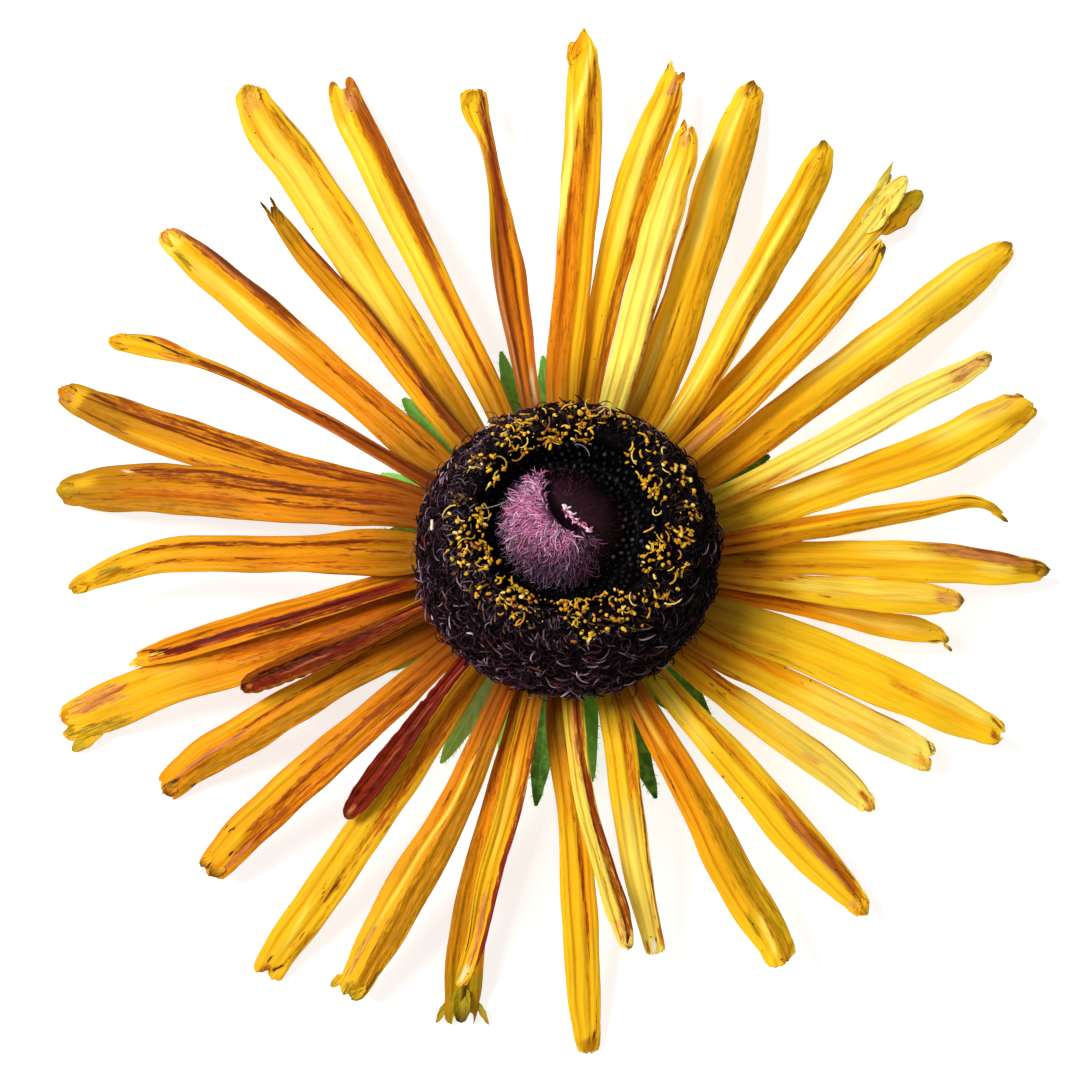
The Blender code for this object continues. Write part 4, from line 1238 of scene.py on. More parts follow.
        # Its root is hidden in the blade, from which it rises.
        centre[:, 2] += flap.lift * t**2 - self.tuck * (1.0 - t) ** 2
        heading = unit(np.gradient(centre, axis=0))
        across = unit(np.cross(np.array([0.0, 0.0, 1.0]), heading))
        v = np.linspace(-1.0, 1.0, columns)
        grow = np.sqrt(1.0 - (1.0 - np.clip(t / 0.35, 0.0, 1.0)) ** 2)
        end = (1.0 - np.clip((t - 0.45) / 0.55, 0.0, 1.0) ** 2) ** flap.point
        half = np.maximum(flap.half * grow * end, 0.03)
        half = half * (1.0 + 0.10 * Wander(rng, 1.0, 4.0)(t))
        aside = half[:, None] * v
        upper = centre[:, None] + across[:, None] * aside[..., None]
        upper[..., 2] += flap.cup * half[:, None] * v**2
        upper[..., 2] += 0.05 * Wander(rng, 1.0, 4.0)(t[:, None] + 0.4 * v[None, :])
        upper[..., 2] = np.maximum(upper[..., 2], self.least_height)
        points, quads, owner = lens_sheet(upper, self.flap_thickness)
        root, tip = (TONE_LETTERS[letter].linear if letter in TONE_LETTERS else tint[base, column]
                     for letter in flap.tone)
        share = 0.8 * smoothstep(0.3, 1.0, t)[:, None, None] * np.ones((1, columns, 1))
        streak = 1.0 + 0.12 * Wander(rng, 1.0, 5.0)(v * 2.0)
        shade = (root + (tip - root) * share) * streak[None, :, None]
        spread = aside + strip
        lengthwise = along_u[:, None] * length - length / 2.0 + 0.0 * spread
        uv = np.stack([lengthwise, spread], axis=-1)
        cover = np.full(shade.shape[:2] + (1,), 0.3)
        mark = np.concatenate([shade * FLAP_MARK_LIGHT, cover], axis=-1)
        return (points, quads, uv.reshape(-1, 2)[owner],
                np.clip(shade, 0.0, 1.0).reshape(-1, 3)[owner], mark.reshape(-1, 4)[owner],
                np.full(len(owner), 0.06))

    def _blade(self, ray: Ray,
               rng: Generator) -> tuple[Array, Array, Array, Array, float]:
        """Upper face of one ray floret.

        Formula: the centre line is the smooth curve through the stations in plan; its height is
        root + rise u (1 - u) - drop u^power.  Across it the blade is a circular arc of half angle
        arch, with two grooves, fine pleats, wavy edges and a slow twist added.

        Args:
            ray: the ray floret.
            rng: source of the draws for its unevenness.

        Returns:
            The grid, its u, its v, the distance across in millimetres and the blade's length.
        """
        places = ray.places
        root = [self.root_radius, places[0, 1], self.root_width]
        radii, bearings, widths = np.concatenate([[root], places]).T.copy()
        bearings = np.radians(bearings)
        widths[1] *= self.root_spread
        plan = np.stack([radii * np.cos(bearings), radii * np.sin(bearings)], axis=1)
        knots = np.concatenate([[0.0], np.cumsum(np.hypot(*np.diff(plan, axis=0).T))])
        length = float(knots[-1])
        knots = knots / length
        # The rows stand closer together where the tip begins.
        tip_from, tip_rows = 0.84, 44
        row = np.concatenate([np.linspace(0.0, tip_from, self.along - tip_rows, endpoint=False),
                              np.linspace(tip_from, 1.0, tip_rows)])[:, None]
        even = np.linspace(-1.0, 1.0, self.across)[None, :]
        v = 0.7 * even + 0.3 * np.sin(even * math.pi / 2.0) + 0.0 * row
        ends = smooth_curve(np.linspace(-1.0, 1.0, len(ray.reach)), np.array(ray.reach), v[0])
        ends = np.minimum(ends + 0.003 * Wander(rng, 1.2, 3.5)(v[0]), 1.003)
        u = row * (1.0 - (1.0 - ends)[None, :] * row**12)
        shoulder = knots[-2]
        width = np.maximum(smooth_curve(knots, widths, u), 0.25)
        past = np.clip((u - shoulder) / (1.0 - shoulder), 0.0, 1.0)
        rounded = widths[-1] + (widths[-2] - widths[-1]) * (1.0 - past**2) ** 0.7
        width = np.where(past > 0.0, rounded, width)
        relative = width / widths.max()
        # The blade's edges are a little uneven.
        left, right = Wander(rng, 2.0, 7.0), Wander(rng, 2.0, 7.0)
        uneven = 1.0 + 0.035 * np.where(v > 0.0, left(row), right(row)) * smoothstep(0.1, 0.3, row)
        half = 0.5 * width * uneven
        theta = ray.arch if abs(ray.arch) > 0.05 else 0.05
        spread = half * np.sin(v * theta) / math.sin(theta)
        drop = half * (1.0 - np.cos(v * theta)) / math.sin(theta)

        def track(where: Array) -> Array:
            """Places in plan on the centre line."""
            return np.stack([smooth_curve(knots, line, where) for line in plan.T], axis=-1)

        step = 0.002
        heading = unit(track(u + step) - track(u - step))
        root, tip = ray.whorl.value, ray.tip_height
        height = root + self.rise * u * (1.0 - u) - (root - tip) * u**self.droop_power
        if ray.whorl is Whorl.LOWER:
            edge = tip - abs(ray.roll) * 0.5 * widths[-2]
            height = height - (edge - self.ledge) * u**2
        bow, twist = Wander(rng, 0.6, 2.2), Wander(rng, 0.7, 2.5)
        calm = smoothstep(0.12, 0.4, u)
        height = height - drop + ray.roll * spread
        height = height + 0.10 * calm * bow(row) + 0.10 * calm * twist(row) * v
        wander = Wander(rng, 0.8, 3.0)
        fade = 1.0 - 0.75 * smoothstep(0.88, 1.0, row)
        place, wide = self.groove_at + 0.05 * wander(row), self.groove_width
        grooves = np.exp(-((v - place) / wide) ** 2) + np.exp(-((v + place) / wide) ** 2)
        pleat = np.cos(math.tau * (3.6 * v + 0.35 * wander(row * 1.3)))
        height = height - relative * fade * (self.groove_depth * grooves - self.pleat_depth * pleat)
        flutter = Wander(rng, 2.0, 6.0)
        edges = np.where(v > 0.0, flutter(row), flutter(row + 9.0))
        height = height + 0.07 * calm * np.abs(v) ** 3 * edges
        height = height + ray.curl * smoothstep(0.9, 1.0, row)
        # The tips are crumpled, and the shrivelled maroon blades all along.
        crumple = Wander(rng, 8.0, 22.0)
        crushed = self.crush_depth if ray.arch < self.shrivelled else 0.0
        strength = np.maximum(0.06 * smoothstep(0.9, 1.0, row), crushed * calm)
        height = np.maximum(height + strength * crumple(row + 0.06 * v), self.least_height)
        across = np.stack([-heading[..., 1], heading[..., 0]], axis=-1)
        grid = np.concatenate([track(u) + across * spread[..., None], height[..., None]], axis=-1)
        return grid, u, v, spread, length

    def _tint(self, ray: Ray, u: Array, v: Array,
              rng: Generator) -> tuple[Array, Array, Array]:
        """Colour of one ray floret: its base tones, its strokes and fine fibres.

        Formula: the base runs through its three tones along u.  A stroke's cover is
        1 - smoothstep of the distance from its line over its half width, faded at its two ends
        and broken up along the fibres.

        Args:
            ray: the ray floret.
            u: the grid's u.
            v: the grid's v.
            rng: source of the draws for the fibres.

        Returns:
            The linear colours, the marks' linear colours with their cover, and the wear.
        """
        stops = np.array([0.08, 0.45, 0.95])
        tones = np.stack([TONE_LETTERS[letter].linear for letter in ray.base])
        tint = np.stack([np.interp(u, stops, tones[:, k]) for k in range(3)], axis=-1)
        coarse, fine, drift = Wander(rng, 1.0, 4.0), Wander(rng, 4.0, 9.0, 9), Wander(rng, 0.8, 2.5)
        streak = 0.6 * fine(v + 0.05 * drift(u)) + 0.4 * coarse(v * 0.8 + 0.1 * drift(u + 3.0))
        ragged = Wander(rng, 3.0, 9.0, 9)(v)
        # The blades on the near left have dried to deeper, more frayed tones.
        facing = math.cos(math.radians(ray.places[1, 1] - self.dry_side))
        aged = float(smoothstep(-0.3, 0.7, np.array(facing)))
        fray = 0.2 + 0.6 * aged
        # Faint darker fibres lie over every blade, most of all near its root.
        mark = tint * FIBRE_LIGHT
        near_root = 1.0 - smoothstep(0.15, 0.5, u)
        total = (0.10 + 0.10 * streak + 0.12 * near_root) * (0.6 + 0.8 * fray)
        for stroke in map(Stroke.read, ray.strokes.split(";")):
            span = stroke.u_to - stroke.u_from
            share = np.clip((u - stroke.u_from) / max(span, 1e-3), 0.0, 1.0)
            line = stroke.v_from + (stroke.v_to - stroke.v_from) * share
            line = line + 0.05 * drift(u * 2.0 + stroke.v_from)
            away = np.abs(v - line) / stroke.half
            cover = 1.0 - smoothstep(0.4, 1.5, away)
            fade = np.clip(0.22 * span, 0.008, 0.07)
            place = u + 0.55 * fade * ragged
            cover = cover * smoothstep(stroke.u_from - fade, stroke.u_from + fade, place)
            cover = cover * (1.0 - smoothstep(stroke.u_to - fade, stroke.u_to + fade, place))
            cover = np.clip(cover * (1.25 + 0.25 * streak) * stroke.strength, 0.0, 1.0)
            if stroke.tone in EVEN_TONES:
                tint = tint + (TONE_LETTERS[stroke.tone].linear - tint) * cover[..., None]
                total = total * (1.0 - 0.6 * cover)
                continue
            # A part of each mark soaks into the blade evenly; the rest breaks up along its fibres.
            soaked = cover * (0.85 if stroke.u_from > 0.88 else 0.85 * (1.0 - fray))
            tint = tint + (TONE_LETTERS[stroke.tone].linear - tint) * soaked[..., None]
            cover = cover * (0.30 + 0.70 * fray)
            joint = cover + total * (1.0 - cover)
            share = (cover / np.maximum(joint, 1e-4))[..., None]
            mark = mark + (TONE_LETTERS[stroke.tone].linear - mark) * share
            total = joint
        patch = Wander(rng, 1.5, 6.0)
        tint = tint * (1.0 + 0.09 * streak + 0.06 * patch(u + 0.03 * v))[..., None]
        # Painted shade: the colour is darkened in the two grooves and along the edges, and near the
        # root, where the disc's shadow is painted.
        painted_groove_shade = np.exp(-((np.abs(v) - self.groove_at) / self.groove_width) ** 2)
        painted_groove_shade = painted_groove_shade * (1.0 - 0.6 * smoothstep(0.8, 1.0, u))
        rim = smoothstep(0.78, 1.0, np.abs(v)) * (1.0 - 0.5 * u)
        shaded = 1.0 - smoothstep(0.08, 0.30, u)
        tint = tint * (1.0 - painted_groove_shade[..., None] * GROOVE_SHADE - rim[..., None] * EDGE_SHADE
                       - shaded[..., None] * ROOT_SHADOW)
        tint, mark = tint * (1.0 - aged * DRY_LOSS), mark * (1.0 - aged * DRY_MARK_LOSS)
        wear = 0.003 + 0.13 * smoothstep(0.88, 0.99, u) + 0.02 * smoothstep(0.8, 1.0, np.abs(v))
        stain = np.concatenate([np.clip(mark, 0.0, 1.0), total[..., None]], axis=-1)
        return np.clip(tint, 0.0, 1.0), stain, wear


# ---------------------------------------------------------------- bracts and receptacle

@dataclass(frozen=True)
class Bract:
    """One green bract: number, root height and radius, tip height, reach, bearing, width, tones."""

    name: str
    root_height: float
    root_radius: float
    tip_height: float
    reach: float
    bearing: float
    width: float
    root_tone: Tone
    tip_tone: Tone


# Height and radius at the root, for the two rings of bracts.
INNER, OUTER = (6.1, 7.7), (5.3, 6.6)
HAIR_PROFILE = (1.0, 0.8, 0.35)
BRACTS = (
    Bract("01", *INNER, 3.0, 17.3, 31.1, 2.2, Tone.MEADOW, Tone.MOSS),
    Bract("02", *OUTER, 2.4, 16.6, 60.0, 1.6, Tone.MEADOW, Tone.MEADOW),
    Bract("03", *INNER, 3.0, 16.4, 94.5, 1.4, Tone.MEADOW, Tone.MEADOW),
    Bract("04", *OUTER, 2.4, 17.4, 104.2, 1.7, Tone.MEADOW, Tone.MEADOW),
    Bract("05", *INNER, 3.0, 17.3, 130.4, 2.5, Tone.MEADOW, Tone.MEADOW),
    Bract("06", *OUTER, 2.6, 14.9, 148.8, 2.1, Tone.MEADOW, Tone.LIME),
    Bract("07", *INNER, 3.0, 14.9, 169.8, 2.3, Tone.LIME, Tone.LIME),
    Bract("08", *OUTER, 2.6, 13.8, 208.5, 1.9, Tone.LIME, Tone.LIME),
    # Bract 09's pale root tone is partly painted light, lifting it out of the blades' shade.
    Bract("09", *INNER, 3.4, 15.8, 238.1, 1.7, Tone.SPRING, Tone.LIME),
    Bract("10", *OUTER, 2.4, 12.9, 250.5, 1.6, Tone.LIME, Tone.LIME),
    Bract("11", *INNER, 2.8, 16.4, 263.9, 1.7, Tone.MEADOW, Tone.MOSS),
    Bract("12", *OUTER, 2.0, 14.6, 278.5, 1.8, Tone.MEADOW, Tone.MEADOW),
    Bract("13", *INNER, 2.8, 17.1, 292.7, 1.8, Tone.MEADOW, Tone.MOSS),
    Bract("14", *OUTER, 2.4, 15.2, 314.2, 3.1, Tone.MEADOW, Tone.MOSS),
)


@dataclass
class Bracts:
    """The green bracts under the ray florets: small pointed leaves with hairy edges.

    Args:
        bracts: every bract.
        finish: the leaves' finish.
        thickness: thickness of a leaf.
        bow: how far a leaf sags under the line from root to tip.
        hairs: hairs along each leaf's edges.
        along: grid rows.
        across: grid columns.
        seed: seed of the first leaf's random draws.
    """

    bracts: tuple[Bract, ...] = BRACTS
    finish: TissueFinish = TissueFinish("bract_leaf", Tone.LIME, 0.30, 1.6, 0.6, 0.06, 0.12)
    thickness: float = 0.3
    bow: float = 1.1
    hairs: int = 110
    along: int = 44
    across: int = 15
    seed: int = 5200

    def build(self, effects: Effects) -> None:
        """Builds every bract.

        Args:
            effects: the shared shader effects.
        """
        material = self.finish.material(effects)
        for order, bract in enumerate(self.bracts):
            rng = np.random.default_rng(self.seed + order)
            grid, tint = self._leaf(bract, rng)
            points, quads, owner = lens_sheet(grid, self.thickness)
            leaf = (points, [quads], tint.reshape(-1, 3)[owner])
            add_tissue("bract_leaf_" + bract.name, [leaf, self._fringe(grid, rng)], material,
                       "bract_" + bract.name)

    def _leaf(self, bract: Bract, rng: Generator) -> tuple[Array, Array]:
        """Upper face and colours of one leaf.

        Formula: width times a taper that ends in a point, height falling with share^1.5 less the
        bow, edges turned up with v^2, a groove over the midrib and slanting side veins.

        Args:
            bract: the bract.
            rng: source of the draws.

        Returns:
            The grid and its linear colours.
        """
        share = np.linspace(0.0, 1.0, self.along)[:, None] ** 0.9
        v = np.linspace(-1.0, 1.0, self.across)[None, :]
        stops = np.array([0.0, 0.18, 0.4, 0.62, 0.82, 0.94, 1.0])
        taper = smooth_curve(stops, np.array([1.0, 1.3, 1.25, 0.95, 0.6, 0.32, 0.12]), share)
        left, right = Wander(rng, 1.5, 5.0), Wander(rng, 1.5, 5.0)
        half = 0.5 * bract.width * taper * (1.0 + 0.06 * np.where(v > 0, left(share), right(share)))
        angle = math.radians(bract.bearing)
        out = np.array([math.cos(angle), math.sin(angle)])
        side = np.array([-out[1], out[0]])
        radius = bract.root_radius + (bract.reach - bract.root_radius) * share + 0.0 * v
        height = bract.root_height - (bract.root_height - bract.tip_height) * share**1.5
        height = height - self.bow * share * (1.0 - share)
        veins = np.cos(math.tau * (7.0 * share - 1.3 * np.abs(v)))
        height = height + 0.22 * taper * v**2 - 0.10 * taper * np.exp(-(v / 0.14) ** 2)
        twist = Wander(rng, 0.8, 2.5)
        height = height + 0.025 * veins * np.abs(v) + 0.12 * twist(share) * share * v
        grid = np.stack([radius * out[0] + half * v * side[0],
                         radius * out[1] + half * v * side[1], height], axis=-1)
        root, tip = bract.root_tone.linear, bract.tip_tone.linear
        tint = root + (tip - root) * np.broadcast_to(share, radius.shape)[..., None]
        gain = 1.0 + 0.10 * veins + 0.45 * np.exp(-(v / 0.10) ** 2) + 0.18 * np.abs(v) ** 4
        return grid, np.clip(tint * gain[..., None], 0.0, 1.0)

    def _fringe(self, grid: Array, rng: Generator) -> Mesh:
        """Short pale hairs along both edges of a leaf.

        Args:
            grid: the leaf's upper face.
            rng: source of the draws.

        Returns:
            The hairs' points, faces and colours.
        """
        count = self.hairs
        row = rng.uniform(0, self.along - 2, count)
        low = row.astype(int)
        part = (row - low)[:, None]
        edge = np.where(rng.random(count) < 0.5, 0, self.across - 1)
        root = grid[low, edge] * (1 - part) + grid[low + 1, edge] * part
        inner = grid[low, self.across // 2]
        outward = unit(root - inner)
        along = unit(grid[low + 1, edge] - grid[low, edge])
        aim = outward + 0.5 * along + rng.normal(0, 0.25, (count, 3))
        root = root - 0.04 * outward - np.array([0, 0, 0.02])
        colour = np.repeat((Tone.LIME.linear * 1.25).clip(0, 1)[None], count, axis=0)
        hairs = Strands(root, aim, along + 0.3 * rng.normal(0, 1, (count, 3)),
                        *draws(rng, count, (0.22, 0.42), (0.1, 0.9), (0.012, 0.018)),
                        HAIR_PROFILE, colour, sides=4)
        return hairs.mesh(rng)


@dataclass
class Receptacle:
    """The green receptacle with its ribbed stem stub, finely hairy, cut off straight below.

    Args:
        profile: radius and height, from the cut end upwards.
        finish: the tissue's finish.
        ribs: ribs round the stem.
        rib_depth: their depth.
        around: grid columns.
        rows: grid rows.
        hairs: number of hairs.
        seed: seed of the random draws.
    """

    profile: tuple[tuple[float, float], ...] = (
        (1.60, 0.0), (1.75, 0.25), (1.70, 2.4), (1.85, 3.9), (2.60, 4.5), (4.80, 4.95),
        (6.60, 5.6), (7.35, 6.4), (7.70, 7.4), (7.75, 9.0), (7.45, 9.3))
    finish: TissueFinish = TissueFinish("receptacle_tissue", Tone.MOSS, 0.3, 1.6, 0.6, 0.05)
    ribs: int = 8
    rib_depth: float = 0.12
    around: int = 128
    rows: int = 90
    hairs: int = 900
    seed: int = 6300

    def build(self, effects: Effects) -> None:
        """Builds the receptacle.

        Args:
            effects: the shared shader effects.
        """
        rng = np.random.default_rng(self.seed)
        data = np.array(self.profile)
        chord = np.concatenate([[0.0], np.cumsum(np.hypot(*np.diff(data, axis=0).T))])
        where = np.linspace(0.0, chord[-1], self.rows)
        radius, height = (np.interp(where, chord, line) for line in data.T)
        # Its corners are rounded off a little.
        blur = np.array([0.25, 0.5, 0.25])
        radius[1:-1] = np.convolve(radius, blur, "valid")
        height[1:-1] = np.convolve(height, blur, "valid")
        turn = full_turn(self.around)
        fade = np.clip(1.0 - height / 5.0, 0.0, 1.0)[:, None]
        swell = radius[:, None] + self.rib_depth * np.cos(self.ribs * turn)[None] * fade
        swell = swell + 0.05 * np.cos(21.0 * turn)[None] * smoothstep(4.2, 6.0, height)[:, None]
        wall = np.stack([swell * np.cos(turn), swell * np.sin(turn),
                         np.repeat(height[:, None], self.around, axis=1)], axis=-1)
        # The cut end: a skin, and the pith a little over it.
        skin = wall[0] * np.array([0.93, 0.93, 1.0])
        pith = wall[0] * np.array([0.5, 0.5, 1.0]) + np.array([0, 0, 0.08])
        loops = np.concatenate([pith[None], skin[None], wall])
        rows = len(loops)
        points = np.concatenate([loops.reshape(-1, 3), [[0, 0, 0.12], [0, 0, height[-1]]]])
        faces = [grid_quads(rows, self.around, close_columns=True), *end_fans(rows, self.around)]
        levels = np.concatenate([[0.0, 0.0], height])
        tone = np.stack([np.interp(levels, [0.0, 3.5, 6.0], stops) for stops in zip(
            Tone.LIME.linear * 0.75, Tone.MEADOW.linear * 0.9, Tone.MEADOW.linear * 0.6)], axis=1)
        ridge = 1.0 + 0.18 * np.cos(self.ribs * turn)[None, :, None] * np.ones((rows, 1, 1))
        colours = np.repeat(tone[:, None], self.around, axis=1) * ridge
        colours[:2] = Tone.CREAM.linear * np.array([0.62, 0.7, 0.45])
        colours = np.concatenate([colours.reshape(-1, 3),
                                  [Tone.CREAM.linear * 0.6, Tone.MEADOW.linear * 0.5]])
        add_tissue("receptacle_and_stem", [(points, faces, colours), self._hairs(wall, rng)],
                   self.finish.material(effects), "receptacle_and_stem_stub")

    def _hairs(self, wall: Array, rng: Generator) -> Mesh:
        """Short pale hairs that point down.

        Args:
            wall: the receptacle's grid of points.
            rng: source of the draws.

        Returns:
            The hairs' points, faces and colours.
        """
        row = rng.integers(3, self.rows - 4, self.hairs)
        root = wall[row, rng.integers(0, self.around, self.hairs)]
        outward = unit(root * np.array([1.0, 1.0, 0.0])) + rng.normal(0, 0.25, (self.hairs, 3))
        outward[:, 2] += np.where(row > self.rows * 0.45, -0.6, -0.1)
        colour = np.repeat((Tone.LIME.linear * 1.2)[None], self.hairs, axis=0)
        hairs = Strands(root - 0.05 * unit(outward), outward,
                        np.array([[0.0, 0.0, 1.0]]) + outward * 0.2,
                        *draws(rng, self.hairs, (0.35, 0.7), (-0.9, 0.9), (0.014, 0.022)),
                        HAIR_PROFILE, colour, sides=4)
        return hairs.mesh(rng)


# ---------------------------------------------------------------- the disc

FOOT = 9.6
Y_SCALE = 0.97
# Disc outline from its foot to its middle: height, radius, sideways shift of the centre.
SPENT_LINE = ((9.6, 9.4, 0.2), (11.2, 10.35, 0.4), (12.8, 10.5, 0.4), (14.6, 10.1, 0.5),
              (16.2, 9.35, 0.55), (17.4, 8.55, 0.6))
POLLEN_LINE = ((17.6, 8.25, 0.6), (18.5, 7.5, 0.6), (18.9, 6.75, 0.5), (18.6, 6.2, 0.45))
BUD_LINE = ((18.2, 5.9, 0.45), (17.5, 5.35, 0.35), (16.9, 4.8, 0.2), (17.1, 4.35, 0.1))
CENTRE_LINE = ((17.3, 4.05, 0.0), (18.1, 3.3, 0.0), (18.6, 2.2, 0.0), (18.65, 1.2, 0.0),
               (18.45, 0.5, 0.0), (18.35, 0.05, 0.0))


class DiscForm:
    """The disc's outline carried round its axis: gives a place and its directions anywhere."""

    def __init__(self, line: tuple[tuple[float, float, float], ...], inset: float = 0.0) -> None:
        """Lays a smooth curve through an outline.

        Args:
            line: height, radius and sideways shift of each point, from the foot inwards.
            inset: how far the radius is drawn in.
        """
        data = np.array(line)
        self.height, self.radius, self.shift = data[:, 0], data[:, 1] - inset, data[:, 2]
        # The ring's lower part sits a little forward of its top.
        self.forward = -0.15 - 0.4 * (1.0 - smoothstep(14.0, 17.4, self.height))
        step = np.hypot(np.diff(self.height), np.diff(data[:, 1]))
        self.knots = np.concatenate([[0.0], np.cumsum(step)])
        self.length = float(self.knots[-1])

    def at(self, s: Array, turn: Array, swell: Array | float = 0.0) -> Array:
        """Places on the surface: s millimetres along the outline, at an angle, swollen outwards."""
        height, radius, shift, forward = (self._follow(line, s) for line in (
            self.height, self.radius, self.shift, self.forward))
        flat = np.stack([shift + radius * np.cos(turn), forward + radius * np.sin(turn) * Y_SCALE,
                         height + 0.0 * turn], axis=-1)
        return flat + self.outward(s, turn) * np.asarray(swell)[..., None]

    def _follow(self, values: Array, s: Array) -> Array:
        """One of the outline's values, s millimetres along it."""
        return smooth_curve(self.knots, values, s)

    def reach(self, radius: Array) -> Array:
        """How far along the outline it has drawn in to each radius."""
        return np.interp(radius, self.radius[::-1], self.knots[::-1])

    def slope(self, s: Array) -> tuple[Array, Array]:
        """Share of a step along the outline that goes inwards and upwards."""
        before, after = s - 0.02, s + 0.02
        rise = self._follow(self.height, after) - self._follow(self.height, before)
        shrink = self._follow(self.radius, before) - self._follow(self.radius, after)
        size = np.hypot(rise, shrink)
        return shrink / size, rise / size

    def outward(self, s: Array, turn: Array) -> Array:
        """Unit normal of the surface."""
        inward, upward = self.slope(s)
        return np.stack([upward * np.cos(turn), upward * np.sin(turn), inward + 0.0 * turn],
                        axis=-1)

    def climb(self, s: Array, turn: Array) -> Array:
        """Unit direction along the outline, towards the disc's middle."""
        inward, upward = self.slope(s)
        return np.stack([-inward * np.cos(turn), -inward * np.sin(turn), upward + 0.0 * turn],
                        axis=-1)

    def lying(self, s: Array, turn: Array, bearing: Array) -> Array:
        """Unit direction in the surface, at a bearing from the anticlockwise one."""
        return (self.around(turn) * np.cos(bearing)[:, None]
                + self.climb(s, turn) * np.sin(bearing)[:, None])

    @staticmethod
    def around(turn: Array) -> Array:
        """Unit direction anticlockwise round the axis."""
        return np.stack([-np.sin(turn), np.cos(turn), 0.0 * turn], axis=-1)


def foot_ring(radius: float, shift: float, turn: Array) -> Array:
    """One ring of points at the foot of the disc."""
    flat = [shift + radius * np.cos(turn), radius * np.sin(turn) * Y_SCALE,
            np.full(len(turn), FOOT)]
    return np.stack(flat, axis=-1)[None]


def flips(rng: Generator, count: int) -> Array:
    """Draws 1 or -1 for each of count directions."""
    return rng.choice([-1.0, 1.0], (count, 1))


@dataclass(frozen=True)
class RingBody:
    """Closed body of one ring of florets, covered in staggered knobs.

    Formula: the outline swells by depth cos^2 of the distance along it times cos^2 of the turn,
    every other row of knobs shifted by half a knob.

    Args:
        feet: radii of its outer and inner foot.
        grid: grid rows along the outline and columns round the axis.
        knobs: knobs round the axis, knobs along the outline and their height.
        tone: linear colour between the knobs.
        peak: linear colour on the knobs.
    """

    feet: tuple[float, float]
    grid: tuple[int, int]
    knobs: tuple[int, int, float]
    tone: tuple[float, float, float]
    peak: tuple[float, float, float]

    def mesh(self, form: DiscForm, rng: Generator) -> Mesh:
        """Works the body out.

        Args:
            form: the ring's outline.
            rng: source of the draws for its unevenness.

        Returns:
            The points, faces and colours.
        """
        rows, columns = self.grid
        s, turn = np.linspace(0.0, form.length, rows)[:, None], full_turn(columns)[None, :]
        count, levels, depth = self.knobs
        level = s / form.length * levels
        phase = math.pi * np.floor(level)
        knob = np.sin(math.pi * (level % 1.0)) ** 2 * np.cos(0.5 * (count * turn + phase)) ** 2
        rough = Wander(rng, 6.0, 17.0, 8)(turn / math.tau + 0.07 * s)
        share = s / form.length
        ends = smoothstep(0.0, 0.08, share) * (1.0 - smoothstep(0.92, 1.0, share))
        swell = (depth * knob + 0.3 * depth * rough) * ends
        bare = np.zeros((1, columns))
        loops = [form.at(s + 0.0 * turn, turn + 0.0 * s, swell),
                 foot_ring(self.feet[1], 0.5 * form.shift[-1], turn[0])]
        shade = [knob, bare]
        if form.height[0] > FOOT:
            loops.insert(0, foot_ring(self.feet[0], 0.5 * form.shift[0], turn[0]))
            shade.insert(0, bare)
        grid = np.concatenate(loops)
        quads = grid_quads(len(grid), columns, close_columns=True)
        last, first = (len(grid) - 1) * columns, np.arange(columns)
        following = (first + 1) % columns
        close = np.stack([last + first, last + following, following, first], axis=1)
        tone, peak = np.array(self.tone), np.array(self.peak)
        colours = tone + (peak - tone) * np.concatenate(shade)[..., None]
        return grid.reshape(-1, 3), [quads, close], colours.reshape(-1, 3)


@dataclass(frozen=True)
class Palette:
    """Tones as 0 to 255 display values, and the weight with which each is drawn."""

    tones: tuple[tuple[float, float, float], ...]
    weights: tuple[float, ...]

    def pick(self, rng: Generator, count: int) -> Array:
        """Draws a linear colour for each of count things."""
        shares = np.array(self.weights) / np.sum(self.weights)
        return as_linear(self.tones)[rng.choice(len(self.tones), size=count, p=shares)]


PLUMS = ((34, 16, 22), (60, 34, 44), (92, 62, 76), (142, 112, 130), (100, 48, 34),
         (196, 168, 172))


